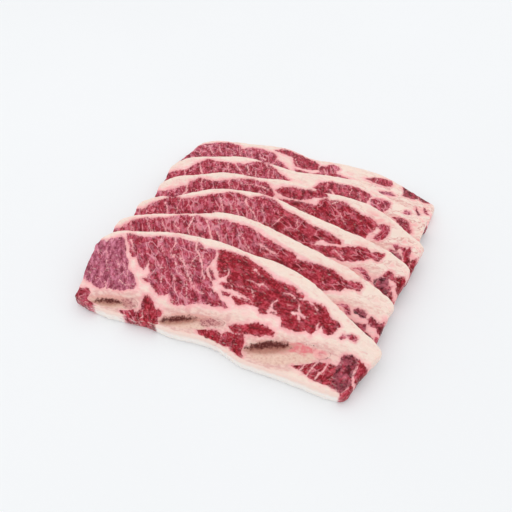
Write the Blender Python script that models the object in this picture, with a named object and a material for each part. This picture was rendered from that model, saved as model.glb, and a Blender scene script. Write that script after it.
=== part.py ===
"""Raw beef short ribs: six slices sawn across the ribs, each lying on the one behind it.

Every slice is a draped slab of one thickness, cut through its length into a lean body,
the fat cap along its arched edge, the thin membrane along its foot, and three rib bones
with a core of marrow. Lengths are written in millimetres and turned into metres by MM.
"""
import math
from collections import namedtuple

import bpy
import numpy as np
from mathutils import Vector
from mathutils.geometry import delaunay_2d_cdt

MM = 0.001

# One slice, sawn to an even thickness, and how the pile rises from slice to slice
THICKNESS = 9.7 * MM
LAYER_RISE = 10.6 * MM
LAYER_SWAY = 0.4
EDGE_ROUND = 1.0 * MM
GAP = 0.3 * MM
MEMBRANE_DEPTH = 1.5 * MM

# The foot of every slice, as height over its foot line at stations along the slice
FOOT_STATIONS = (-126, -104, -90, -68, -50, -30, 0, 28, 60, 84, 112)
FOOT_HEIGHTS = (7, 3.5, 2.5, 2, 5.5, 6, 7.5, 3.5, 1.5, 0, 2.5)

# How far the foot of the front slice, which lies free on the ground, spreads forward
FRONT_SPREAD = (2.5, 3.2, 3.8, 1.8, 3.2, 4.6, 3.2, 4.9, 2.6, 2.2, 2.0)

# The arched edge is given at these stations, and the fat cap's depth under it
ARCH_STATIONS = (-118, -106, -85, -60, -30, 0, 30, 60, 85, 104, 120)
CAP_DEPTHS = (5, 4.5, 4, 5, 6.5, 4.5, 9, 10, 9.5, 11, 12)

# Where each slice's foot line lies, how far it is turned, where its left and right ends
# meet the foot and the arch, and the heights of its arch
Slice = namedtuple("Slice", "x y turn left right arch")
SLICES = (
    Slice(-1.4, -101.0, -2.5, (-114.5, -117.8), (102.5, 119),
          (46, 58, 65, 72, 76.5, 76, 75, 66.5, 54, 45, 37)),
    Slice(3.2, -68.7, 1.4, (-113.5, -117), (109, 118.5),
          (47, 54.5, 61.5, 68, 77, 76, 68.5, 60, 52.5, 45, 38)),
    Slice(10.9, -36.0, 3.3, (-116.5, -117), (108, 119.5),
          (47, 53.5, 59, 71, 77.5, 76, 66, 58.5, 51.5, 45, 38)),
    Slice(16.7, -6.4, 3.0, (-116.5, -117), (109.5, 121),
          (48, 56, 62, 69.5, 70.5, 73.5, 67.5, 64.5, 56, 45.5, 38)),
    Slice(14.9, 28.4, 2.6, (-122, -118), (115, 121.5),
          (42, 54.5, 63, 71, 69, 64.5, 67, 66, 52.5, 44, 37)),
    Slice(17.1, 64.6, -0.3, (-127.5, -117), (117.5, 124),
          (48, 58, 64, 68, 72, 64.5, 66.5, 64.5, 56, 46, 38)),
)

# The three rib bones of a slice and their marrow, as ovals: middle along and across,
# half length, half width, slant, and how much slimmer the right half is than the left.
# The front slice has wider bones, nearer to its foot.
Oval = namedtuple("Oval", "along across half_length half_width slant skew")
FRONT_BONES = (
    Oval(-82.7, 8.2, 21.0, 5.3, 9.6, -0.2),
    Oval(-18.5, 14.0, 25.5, 6.0, 15.5, 0.2),
    Oval(55.0, 14.3, 31.3, 8.4, 15.5, 0.3),
)
FRONT_MARROW = (
    Oval(-84.6, 6.8, 10.0, 1.5, 14.0, 0.0),
    Oval(-27.0, 11.5, 14.0, 1.8, 22.0, 0.0),
    Oval(43.5, 14.0, 16.0, 2.7, 21.0, 0.0),
)
BONES = (
    Oval(-86.0, 10.3, 17.0, 4.6, 8.0, 0.0),
    Oval(-22.0, 15.8, 25.5, 5.2, 12.0, 0.0),
    Oval(51.0, 16.6, 32.0, 6.6, 13.0, 0.1),
)
MARROW = (
    Oval(-88.0, 9.6, 9.5, 1.4, 11.0, 0.0),
    Oval(-27.5, 14.9, 14.0, 1.6, 15.0, 0.0),
    Oval(44.5, 15.8, 16.5, 2.0, 15.0, 0.0),
)
BONE_SHIFTS = (0.0, 1.2, -0.8, 0.9, -1.4, 0.5)
BONE_ROUNDNESS = 0.85

# How finely the solids are faceted
EDGE_STEP = 8.5 * MM
INNER_STEP = 11.0 * MM
INNER_CLEARANCE = 4.5 * MM
END_ROUNDS = 8
MERGE_DISTANCE = 1e-7
BONE_SIDES = 20
MARROW_SIDES = 12
SHARP_ANGLE = math.radians(50.0)

# Linear colour and roughness of each tissue
TISSUES = {
    "lean": ((0.42, 0.075, 0.095, 1.0), 0.42),
    "cap": ((0.86, 0.60, 0.53, 1.0), 0.40),
    "membrane": ((0.82, 0.72, 0.66, 1.0), 0.38),
    "bone": ((0.76, 0.55, 0.45, 1.0), 0.50),
    "marrow": ((0.16, 0.035, 0.028, 1.0), 0.62),
}


def smooth_line(along, stations, heights):
    """Height at a place along the slice, on a smooth curve through the stations."""
    stations = np.asarray(stations, float) * MM
    heights = np.asarray(heights, float) * MM
    slopes = np.gradient(heights, stations)
    along = min(max(along, stations[0]), stations[-1])
    i = min(int(np.searchsorted(stations, along, side="right")) - 1, len(stations) - 2)
    span = stations[i + 1] - stations[i]
    t = (along - stations[i]) / span
    ahead = t * t * (3.0 - 2.0 * t)
    rise = heights[i] + (heights[i + 1] - heights[i]) * ahead
    lead = slopes[i] * t * (1.0 - t) ** 2
    trail = slopes[i + 1] * t * t * (1.0 - t)
    return float(rise + span * (lead - trail))


def foot(along):
    """Height of the foot edge over the foot line."""
    return smooth_line(along, FOOT_STATIONS, FOOT_HEIGHTS)


def foot_edge(number, along):
    """Height of one slice's foot edge, which spreads forward on the front slice."""
    if number > 1:
        return foot(along)
    return foot(along) - smooth_line(along, FOOT_STATIONS, FRONT_SPREAD)


def slice_axes(number):
    """Corner of a slice's own plan frame and its two directions."""
    one = SLICES[number - 1]
    turn = math.radians(one.turn)
    along = np.array([math.cos(turn), math.sin(turn)])
    across = np.array([-along[1], along[0]])
    return np.array([one.x * MM, one.y * MM]), along, across


def to_plan(number, point):
    """From a slice's own frame to the plan of the whole pile."""
    corner, along, across = slice_axes(number)
    return corner + along * point[0] + across * point[1]


def beyond_foot(number, place):
    """How far a place in plan lies behind a slice's foot edge."""
    corner, along, across = slice_axes(number)
    offset = place - corner
    return float(offset @ across) - foot(float(offset @ along))


def layer_level(place):
    """Count of foot edges in front of a place, passing evenly from one to the next."""
    count = len(SLICES)
    distances = [beyond_foot(number, place) for number in range(1, count + 1)]
    if distances[-1] >= 0.0:
        return float(count)
    number = max((n for n in range(1, count) if distances[n - 1] >= 0.0), default=1)
    step = distances[number - 1] / (distances[number - 1] - distances[number])
    step = max(step, 0.0)
    if number == count - 1:
        start = 1.0 - LAYER_SWAY
        eased = start * step + (3.0 - 2.0 * start) * step ** 2 + (start - 2.0) * step ** 3
        return number + eased
    return number + step - LAYER_SWAY * math.sin(2.0 * math.pi * step) / (2.0 * math.pi)


def underside(number, place):
    """Height of a slice's lower face over the ground."""
    return max(LAYER_RISE * (layer_level(place) - number), 0.0)


def end_along(ends, lowest, highest, across):
    """Where a slice ends at a height across it, from where that end meets foot and arch."""
    low, high = (along * MM for along in ends)
    share = (across - lowest(low)) / (highest(high) - lowest(low))
    return low + (high - low) * share


def line_between_ends(one, lowest, highest, height_at):
    """Points of a line along the slice, from its left end to its right end."""
    limits = []
    for ends in (one.left, one.right):
        along = ends[0] * MM
        for _ in range(END_ROUNDS):
            along = end_along(ends, lowest, highest, height_at(along))
        limits.append(along)
    steps = round((limits[1] - limits[0]) / EDGE_STEP)
    places = np.linspace(limits[0], limits[1], steps + 1)
    return [np.array([along, height_at(along)]) for along in places]


def oval_ring(oval, shift, sides, grow):
    """Closed ring of a slanted oval that stands for a bone or its marrow."""
    slant = math.radians(oval.slant)
    axis = np.array([math.cos(slant), math.sin(slant)])
    normal = np.array([-axis[1], axis[0]])
    middle = np.array([oval.along + shift, oval.across]) * MM
    length = oval.half_length * MM + grow
    width = oval.half_width * MM + grow
    ring = []
    for i in range(sides):
        x, y = math.cos(2.0 * math.pi * i / sides), math.sin(2.0 * math.pi * i / sides)
        y = math.copysign(abs(y) ** BONE_ROUNDNESS, y) * (1.0 - oval.skew * x)
        ring.append(middle + axis * (length * x) + normal * (width * y))
    return ring


def inside(ring, point):
    """Whether a point lies inside a closed ring."""
    hit = False
    for (x0, y0), (x1, y1) in zip(ring, ring[1:] + ring[:1]):
        if (y0 > point[1]) != (y1 > point[1]):
            hit ^= point[0] < x0 + (x1 - x0) * (point[1] - y0) / (y1 - y0)
    return hit


def distance_to(ring, point):
    """Distance from a point to a closed ring."""
    start = np.array(ring)
    step = np.roll(start, -1, axis=0) - start
    share = np.einsum("ij,ij->i", point - start, step) / np.einsum("ij,ij->i", step, step)
    nearest = start + step * np.clip(share, 0.0, 1.0)[:, None]
    return float(np.linalg.norm(nearest - point, axis=1).min())


def inner_points(ring, holes):
    """Even grid of points well inside a ring and clear of its holes."""
    corners = np.array(ring)
    low, high = corners.min(axis=0), corners.max(axis=0)
    points = []
    for row, v in enumerate(np.arange(low[1], high[1], INNER_STEP)):
        shift = 0.5 * INNER_STEP * (row % 2)
        for u in np.arange(low[0] + shift, high[0], INNER_STEP):
            point = np.array([u, v])
            clear = all(distance_to(loop, point) > INNER_CLEARANCE for loop in [ring] + holes)
            if clear and inside(ring, point) and not any(inside(h, point) for h in holes):
                points.append(point)
    return points


def rounded_in(ring, outer):
    """Ring with its outer points drawn in, square to the edge, for the rounded rim."""
    drawn = []
    count = len(ring)
    for i, point in enumerate(ring):
        if not outer[i]:
            drawn.append(point)
            continue
        before = ring[i - 1] if outer[i - 1] else point
        after = ring[(i + 1) % count] if outer[(i + 1) % count] else point
        edge = after - before
        inward = np.array([-edge[1], edge[0]]) / np.linalg.norm(edge)
        if outer[i - 1] and outer[(i + 1) % count]:
            drawn.append(point + inward * EDGE_ROUND)
        else:
            inner = ring[(i + 1) % count] if outer[i - 1] else ring[i - 1]
            along = (inner - point) / np.linalg.norm(inner - point)
            drawn.append(point + along * EDGE_ROUND / max(float(along @ inward), 0.5))
    return drawn


class Slab:
    """A piece of a slice: a ring with holes, run through the slice's thickness."""

    def __init__(self, number, ring, outer, holes=(), inner=()):
        self.number = number
        self.vertices = []
        self.faces = []
        drawn = rounded_in(ring, outer)
        holes = list(holes)
        plan = drawn + [point for hole in holes for point in hole] + list(inner)
        top = [self.add(point, 1.0) for point in plan]
        bottom = [self.add(point, 0.0) for point in plan]
        for a, b, c in self.triangles(drawn, holes, plan):
            self.faces.append((top[a], top[b], top[c]))
            self.faces.append((bottom[c], bottom[b], bottom[a]))
        self.outer_wall(ring, outer, top, bottom)
        start = len(drawn)
        for hole in holes:
            self.hole_wall(start, len(hole), top, bottom)
            start += len(hole)

    def add(self, point, share, drop=0.0):
        """Add a vertex at a share of the thickness, less a drop, and return its index."""
        place = to_plan(self.number, point)
        low = underside(self.number, place)
        self.vertices.append((place[0], place[1], low + THICKNESS * share - drop))
        return len(self.vertices) - 1

    def triangles(self, drawn, holes, plan):
        """Triangles of the plan, inside the ring and outside its holes."""
        rims = []
        start = len(drawn)
        for hole in holes:
            rims += [(start + i, start + (i + 1) % len(hole)) for i in range(len(hole))]
            start += len(hole)
        points = [Vector((float(u), float(v))) for u, v in plan]
        outline = [list(range(len(drawn)))]
        result = delaunay_2d_cdt(points, rims, outline, 1, MERGE_DISTANCE, True)
        coords, faces, sources = result[0], result[2], result[3]
        kept = []
        for face in faces:
            middle = sum((coords[i] for i in face), Vector((0.0, 0.0))) / len(face)
            if inside(drawn, middle) and not any(inside(hole, middle) for hole in holes):
                kept.append(tuple(sources[i][0] for i in face))
        return kept

    def outer_wall(self, ring, outer, top, bottom):
        """Wall round the ring: rounded where it is the slice's own edge, else straight."""
        columns = []
        for i, point in enumerate(ring):
            column = [top[i], bottom[i]]
            if outer[i]:
                upper = self.add(point, 1.0, EDGE_ROUND)
                lower = self.add(point, 0.0, -EDGE_ROUND)
                column = [top[i], upper, lower, bottom[i]]
            columns.append(column)
        for i, right in enumerate(columns):
            self.zip_columns(columns[i - 1], right)

    def hole_wall(self, start, count, top, bottom):
        """Straight wall of one hole, facing into it."""
        for i in range(count):
            a, b = start + i, start + (i + 1) % count
            self.zip_columns([top[b], bottom[b]], [top[a], bottom[a]])

    def zip_columns(self, left, right):
        """Triangles between two columns of vertices that run from top to bottom."""
        i = j = 0
        while i < len(left) - 1 or j < len(right) - 1:
            i_next = (i + 1) / max(len(left) - 1, 1)
            j_next = (j + 1) / max(len(right) - 1, 1)
            if j == len(right) - 1 or (i < len(left) - 1 and i_next <= j_next):
                self.faces.append((left[i], left[i + 1], right[j]))
                i += 1
            else:
                self.faces.append((left[i], right[j + 1], right[j]))
                j += 1


def strip_ring(low_line, high_line, low_outer, high_outer):
    """Ring of a strip between two lines, and which of its points are the slice's edge."""
    ring = low_line + high_line[::-1]
    outer = [low_outer] * len(low_line) + [high_outer] * len(high_line)
    for corner in (0, len(low_line) - 1, len(low_line), len(ring) - 1):
        outer[corner] = True
    return ring, outer


def slice_slabs(number):
    """All pieces of one slice, by tissue and name."""
    one = SLICES[number - 1]
    shift = BONE_SHIFTS[number - 1]
    bones, marrow = (FRONT_BONES, FRONT_MARROW) if number == 1 else (BONES, MARROW)

    def lowest(along):
        return foot_edge(number, along)

    def arch(along):
        return smooth_line(along, ARCH_STATIONS, one.arch)

    def cap_line(along, side):
        return arch(along) - smooth_line(along, ARCH_STATIONS, CAP_DEPTHS) + side * GAP / 2

    def membrane_line(along, side):
        return lowest(along) + MEMBRANE_DEPTH + side * GAP / 2

    def line(height_at):
        return line_between_ends(one, lowest, arch, height_at)

    foot_line = line(lowest)
    membrane_top = line(lambda along: membrane_line(along, -1))
    lean_low = line(lambda along: membrane_line(along, 1))
    lean_high = line(lambda along: cap_line(along, -1))
    cap_low = line(lambda along: cap_line(along, 1))
    cap_high = line(arch)

    pieces = []
    ring, outer = strip_ring(foot_line, membrane_top, True, False)
    pieces.append(("membrane", f"membrane_{number}", Slab(number, ring, outer)))
    ring, outer = strip_ring(lean_low, lean_high, False, False)
    holes = [oval_ring(bone, shift, BONE_SIDES, GAP) for bone in bones]
    inner = inner_points(ring, holes)
    pieces.append(("lean", f"lean_{number}", Slab(number, ring, outer, holes, inner)))
    ring, outer = strip_ring(cap_low, cap_high, False, True)
    pieces.append(("cap", f"fat_cap_{number}", Slab(number, ring, outer)))
    for place, bone, core in zip(("left", "middle", "right"), bones, marrow):
        ring = oval_ring(bone, shift, BONE_SIDES, 0.0)
        hole = oval_ring(core, shift, MARROW_SIDES, GAP)
        body = Slab(number, ring, [False] * BONE_SIDES, [hole])
        pieces.append(("bone", f"bone_{number}_{place}", body))
        ring = oval_ring(core, shift, MARROW_SIDES, 0.0)
        body = Slab(number, ring, [False] * MARROW_SIDES)
        pieces.append(("marrow", f"marrow_{number}_{place}", body))
    return pieces


def tissue_material(tissue):
    """Principled material of one tissue."""
    colour, roughness = TISSUES[tissue]
    material = bpy.data.materials.new(tissue)
    material.use_nodes = True
    shader = material.node_tree.nodes["Principled BSDF"]
    shader.inputs["Base Color"].default_value = colour
    shader.inputs["Roughness"].default_value = roughness
    shader.inputs["Metallic"].default_value = 0.0
    material.diffuse_color = colour
    return material


def clear_scene():
    """Remove whatever the scene holds."""
    for old in list(bpy.data.objects):
        bpy.data.objects.remove(old, do_unlink=True)


def main():
    """Build the pile with its origin at the middle of its box, on the ground."""
    clear_scene()
    pieces = []
    for number in range(1, len(SLICES) + 1):
        pieces += slice_slabs(number)
    every = np.array([vertex for _, _, slab in pieces for vertex in slab.vertices])
    low, high = every.min(axis=0), every.max(axis=0)
    origin = np.array([(low[0] + high[0]) / 2, (low[1] + high[1]) / 2, low[2]])
    root = bpy.data.objects.new("short_ribs", None)
    bpy.context.scene.collection.objects.link(root)
    materials = {tissue: tissue_material(tissue) for tissue in TISSUES}
    for tissue, name, slab in pieces:
        mesh = bpy.data.meshes.new(name)
        points = (np.array(slab.vertices) - origin).tolist()
        mesh.from_pydata(points, [], slab.faces)
        mesh.materials.append(materials[tissue])
        mesh.shade_smooth()
        mesh.set_sharp_from_angle(angle=SHARP_ANGLE)
        piece = bpy.data.objects.new(name, mesh)
        piece.parent = root
        bpy.context.scene.collection.objects.link(piece)


main()
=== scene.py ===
"""Raw beef short ribs, dressed: six sawn slices, each lying on the one behind it.

Every slice is one draped shell, cut into its lean body, the fat cap along the arch, the
membrane along the foot and three rib bones with a marrow core. The layout of the pile and
the drawing of muscles, seams and bones on each cut face are in millimetres, in the slice's
own frame: u runs along the slice and v from its foot to its arch.
"""

import logging
import math
from dataclasses import dataclass, field, replace
from enum import Enum
from typing import Sequence

import bpy
import numpy as np
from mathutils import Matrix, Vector


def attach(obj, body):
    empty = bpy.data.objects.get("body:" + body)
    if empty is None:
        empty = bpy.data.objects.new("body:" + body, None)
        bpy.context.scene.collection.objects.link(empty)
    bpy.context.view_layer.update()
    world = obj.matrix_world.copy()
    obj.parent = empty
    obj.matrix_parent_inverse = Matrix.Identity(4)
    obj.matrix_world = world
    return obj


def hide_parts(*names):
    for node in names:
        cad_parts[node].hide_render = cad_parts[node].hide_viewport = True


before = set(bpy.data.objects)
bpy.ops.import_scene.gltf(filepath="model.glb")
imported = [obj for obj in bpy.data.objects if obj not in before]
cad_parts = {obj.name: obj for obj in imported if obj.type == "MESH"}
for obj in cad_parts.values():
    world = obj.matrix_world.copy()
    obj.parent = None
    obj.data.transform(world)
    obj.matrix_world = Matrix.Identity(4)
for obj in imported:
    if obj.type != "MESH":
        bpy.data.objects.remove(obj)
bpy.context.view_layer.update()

LOG = logging.getLogger("short_ribs")
MM = 0.001
Point = tuple[float, float]

# A distance beyond any in the pile
FAR = 1e9
# Seeds of the noise in the drawing of a face and in the shape of a slice
FACE_SEED = 40
SHELL_SEED = 7
# Turn over which an edge of a mesh shows as sharp
SHARP_EDGE = math.radians(52.0)
# Spacing of the points on the front slice and on the others
FRONT_STEP = 0.66
REAR_STEP = 0.82

# The frame's origin in the plan of the pile, and the layout that the solids follow
PLAN_ORIGIN = (12.11232, 14.95849)
THICKNESS = 9.7
LAYER_RISE = 10.6
LAYER_SWAY = 0.4
MEMBRANE_DEPTH = 1.65
FOOT_STATIONS = (-126, -104, -90, -68, -50, -30, 0, 28, 60, 84, 112)
FOOT_HEIGHTS = (7, 3.5, 2.5, 2, 5.5, 6, 7.5, 3.5, 1.5, 0, 2.5)
FRONT_SPREAD = (2.5, 3.2, 3.8, 1.8, 3.2, 4.6, 3.2, 4.9, 2.6, 2.2, 2.0)
ARCH_STATIONS = (-118, -106, -85, -60, -30, 0, 30, 60, 85, 104, 120)
CAP_DEPTHS = (5, 4.5, 4, 5, 6.5, 4.5, 9, 10, 9.5, 11, 12)


class Tissue(Enum):
    """What a piece of a slice is made of, by the name of its material slot."""

    LEAN = "lean"
    CAP = "fat_cap"
    MEMBRANE = "membrane"
    BONE = "bone"
    MARROW = "marrow"


class Side(Enum):
    """The three rib bones of a slice."""

    LEFT = "left"
    MIDDLE = "middle"
    RIGHT = "right"


CUT_TISSUES = (Tissue.MEMBRANE, Tissue.LEAN, Tissue.CAP)
PIECE_NAMES = {Tissue.MEMBRANE: "silverskin", Tissue.LEAN: "marbled_lean",
               Tissue.CAP: "cap_fat", Tissue.BONE: "rib", Tissue.MARROW: "core"}


def region_code(tissue: Tissue, side: Side | None = None) -> int:
    """Number of the region of a face that a piece is cut from.

    Args:
        tissue: What the piece is made of.
        side: Which rib it belongs to, if any.

    Returns:
        0 to 2 for the cut tissues, then the bones and then the marrow cores.
    """
    if side is None:
        return CUT_TISSUES.index(tissue)
    before = len(CUT_TISSUES) + (len(Side) if tissue is Tissue.MARROW else 0)
    return before + list(Side).index(side)


@dataclass(frozen=True)
class Muscle:
    """A patch of lean meat on the cut face.

    Args:
        outline: Corners of the patch, in order.
        grain: Direction of its fibres and veins in degrees from u.
        tone: 0 for pale mauve meat, 1 for deep crimson.
        marbling: How much fat veins it, from 0 to 1.
        bruise: How far it turns to dark purple, from 0 to 1.
    """

    outline: tuple[Point, ...]
    grain: float = -45.0
    tone: float = 0.5
    marbling: float = 0.5
    bruise: float = 0.0


@dataclass(frozen=True)
class Seam:
    """A line of fat through the lean.

    Args:
        path: Its points, in order.
        start: Its first width.
        end: Its last width.
    """

    path: tuple[Point, ...]
    start: float = 1.2
    end: float = 0.8


@dataclass(frozen=True)
class Oval:
    """A slanted oval on the cut face.

    Args:
        u: Its middle along the slice.
        v: Its middle across the slice.
        half_length: Half its length.
        half_width: Half its width.
        slant: Its lean in degrees.
        skew: How much slimmer its right half is than its left.
    """

    u: float
    v: float
    half_length: float
    half_width: float
    slant: float
    skew: float = 0.0

    def moved(self, along: float) -> "Oval":
        """The same oval, moved along the slice."""
        return replace(self, u=self.u + along)

    def place(self, u: np.ndarray, v: np.ndarray) -> tuple[np.ndarray, np.ndarray, np.ndarray]:
        """Place of points in the oval.

        Args:
            u: Places along the slice.
            v: Places across it.

        Returns:
            Shares of its half length and half width, and the radius that is 1 on its edge.
        """
        c, s = math.cos(math.radians(self.slant)), math.sin(math.radians(self.slant))
        du, dv = u - self.u, v - self.v
        x = (du * c + dv * s) / self.half_length
        y = (-du * s + dv * c) / (self.half_width * (1.0 - self.skew * np.clip(x, -1, 1)))
        return x, y, np.sqrt(x * x + y * y)


@dataclass(frozen=True)
class Rib:
    """Cut of a rib bone.

    Args:
        bone: Its outline.
        slit: The slit of its marrow.
        knob: The knob at its blunt end.
    """

    bone: Oval
    slit: Oval
    knob: Oval

    def moved(self, along: float) -> "Rib":
        """The same rib, moved along the slice."""
        return Rib(self.bone.moved(along), self.slit.moved(along), self.knob.moved(along))


@dataclass(frozen=True)
class SlicePlan:
    """Where a slice lies in the pile, its edges and what its face shows.

    Args:
        x: Place of its own origin in the plan of the pile.
        y: Place of its own origin in the plan of the pile.
        turn: Its turn in the plan, in degrees.
        left: Its left end at the foot and at the arch.
        right: Its right end at the foot and at the arch.
        arch: Height of the arch at each of the arch's stations.
        muscles: Patches of lean meat above the bones.
        seams: Lines of fat.
        shift: How far along the slice its bones are moved.
    """

    x: float
    y: float
    turn: float
    left: Point
    right: Point
    arch: tuple[float, ...]
    muscles: tuple[Muscle, ...] = ()
    seams: tuple[Seam, ...] = ()
    shift: float = 0.0

    @property
    def turned(self) -> Point:
        """Cosine and sine of the slice's turn."""
        return math.cos(math.radians(self.turn)), math.sin(math.radians(self.turn))


FRONT_RIBS = {
    Side.LEFT: Rib(Oval(-82.7, 8.2, 21.0, 5.3, 9.6, -0.2), Oval(-84.6, 6.8, 10.0, 1.5, 14.0),
                   Oval(-69.0, 10.8, 6.8, 4.0, 8.0)),
    Side.MIDDLE: Rib(Oval(-18.5, 14.0, 25.5, 6.0, 15.5, 0.2), Oval(-27.0, 11.5, 14.0, 1.8, 22.0),
                     Oval(-3.6, 18.0, 9.2, 3.7, 15.0)),
    Side.RIGHT: Rib(Oval(55.0, 14.3, 31.3, 8.4, 15.5, 0.3), Oval(43.5, 14.0, 16.0, 2.7, 21.0),
                    Oval(79.0, 21.3, 6.2, 4.0, 8.0)),
}
RIBS = {
    Side.LEFT: Rib(Oval(-86.0, 10.3, 17.0, 4.6, 8.0), Oval(-88.0, 9.6, 9.5, 1.4, 11.0),
                   Oval(-74.0, 12.0, 5.0, 3.0, 8.0)),
    Side.MIDDLE: Rib(Oval(-22.0, 15.8, 25.5, 5.2, 12.0), Oval(-27.5, 14.9, 14.0, 1.6, 15.0),
                     Oval(-4.0, 19.6, 7.0, 3.4, 12.0)),
    Side.RIGHT: Rib(Oval(51.0, 16.6, 32.0, 6.6, 13.0, 0.1), Oval(44.5, 15.8, 16.5, 2.0, 15.0),
                    Oval(76.0, 22.3, 6.4, 3.6, 12.0)),
}

# Where the lean above the bones ends, under the slice in front
HIDDEN_EDGE = ((-12, 29), (-35, 22), (-50, 24), (-70, 22), (-90, 17))

# Meat between the bones, along the foot: of the front slice, and of the ones behind it
FRONT_BETWEEN_BONES = (
    Muscle(((-117, 9), (-113, 10.4), (-108, 11), (-104, 9.6), (-103.4, 6), (-100, 4), (-97, 3),
            (-94, 0), (-92, -6), (-118, -6)), -30, 0.66, 0.5, 0.2),
    Muscle(((-74, 4.6), (-71.5, 7.6), (-68.9, 8.6), (-65, 8), (-62, 6.8), (-60.6, 3), (-61.5, 0),
            (-65, -0.4), (-68, 1.6), (-71.5, 2.6)), -40, 0.7, 0.9),
    Muscle(((-60.8, 17.6), (-57.5, 19.8), (-54.6, 19), (-50.6, 16.3), (-47, 12.6), (-47.4, 10.2),
            (-54.1, 9.6), (-58.4, 9.7), (-60.6, 12.5)), -60, 0.9, 0.3),
    Muscle(((-61.2, 5), (-60.6, 8.4), (-57.4, 9.5), (-51.6, 9.9), (-45.5, 14.4), (-42.5, 13.6),
            (-42.8, 10.5), (-44.2, 8.1), (-41.8, 3.4), (-40.6, -6), (-62, -6), (-60.5, 1)),
           -50, 0.9, 0.5),
    Muscle(((-13, 12.4), (-10.4, 14.4), (-8, 14.6), (-5.2, 12.2), (-4, 10.2), (-5, 7), (-9.8, 7.4),
            (-12.6, 9.8)), -60, 0.9, 0.2),
    Muscle(((-5.2, 10.2), (-3.2, 12.8), (-0.8, 13.4), (4.9, 12.2), (7.2, 9.4), (6.6, 4.6), (1, 4),
            (-3, 5.4), (-5, 7.4)), -60, 0.9, 0.4),
    Muscle(((6.8, 12.6), (9.3, 15.6), (12.3, 16.2), (15.2, 14.8), (16, 11.5), (15.4, 6), (9.6, 5),
            (6.8, 7)), -70, 0.85, 0.5),
    Muscle(((13.2, 13.4), (15, 16), (18.5, 17), (21, 17.3), (23.4, 15), (24.2, 11), (24.6, 7.6),
            (27.4, 2.6), (24.2, 0.8), (21, 3.2), (17.5, 3.8), (15, 7)), -75, 0.9, 0.4),
    Muscle(((8.6, 19.6), (9.8, 21.2), (20.2, 23.4), (29.8, 27.1), (36.4, 27.4), (42.4, 25),
            (41.9, 22.8), (32.8, 19.6), (26, 18.6), (22.5, 17.4), (13.4, 17.3)), 12, 0.95, 0.35),
    Muscle(((61.2, 7.6), (63, 10.4), (65, 11.4), (72.7, 14.2), (80, 15.9), (86.3, 17),
            (90.5, 16.4), (92, 10), (91.5, 3.2), (84.3, 3.4), (75.8, 4.2), (68.8, 6.4),
            (64.5, 6.8)), 62, 0.92, 0.5),
    Muscle(((90.5, 15.4), (93.2, 23.6), (96.5, 26.4), (101.4, 27.2), (104, 26), (103, 16),
            (102.5, 8), (98.4, 1.5), (90.8, 3)), 60, 0.7, 0.35, 0.85),
    Muscle(((103.4, 26), (107.4, 24.8), (111, 22.5), (124, 24), (124, -6), (98.4, -6), (98.3, 1),
            (102.6, 6), (104, 14)), 60, 0.85, 0.3, 0.15),
)
BETWEEN_BONES = (
    Muscle(((-116, 5), (-113, 9), (-108, 10.5), (-104, 10), (-102, 8), (-98, 7.5), (-96, 4),
            (-93, 2), (-92, -6), (-114, -6)), -30, 0.62, 0.75, 0.1),
    Muscle(((-72, 3.5), (-66, 8), (-62, 11.5), (-61, 15.5), (-57.5, 18), (-54, 18), (-50.5, 14),
            (-47, 13), (-44, 14.6), (-42.8, 12.5), (-44, 8), (-42, 4.5), (-40.5, -6), (-72, -6)),
           -50, 0.85, 0.6),
    Muscle(((-10, 10.5), (-8, 13.2), (-5, 13.2), (-2.5, 11.6), (2, 12), (4, 10.8), (8, 9.8),
            (9.5, 13.2), (13.5, 14.2), (16, 11), (18, 14), (20, 16.2), (23.5, 16), (25.5, 12),
            (28.5, 10), (29, 7), (31.5, 2.5), (25, 5), (21, 4.5), (16.5, 5), (13.5, 7.6), (8, 7.5),
            (0, 7.6), (-6, 8)), -75, 0.8, 0.55),
    Muscle(((9, 20.6), (18, 22.6), (25, 24.6), (30, 26.6), (36, 27.2), (40.5, 25.8), (44, 23),
            (40, 21), (35, 20.6), (31.5, 18.8), (28, 19.8), (20, 19.8), (12, 19.6)),
           12, 0.95, 0.35),
    Muscle(((61.5, 9.5), (65, 12.6), (70, 14.4), (75, 13.8), (79.5, 14.6), (86, 14.6), (90, 17),
            (91, 10), (90.5, 3.6), (83, 3.8), (77, 2.8), (72, 3.8), (68, 6.6), (63.5, 8)),
           80, 0.9, 0.75),
    Muscle(((97, 4), (100, 8.6), (106, 7), (112, 8.6), (123, 8), (123, -6), (98.5, -6)),
           60, 0.62, 0.45, 0.75),
)

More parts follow.
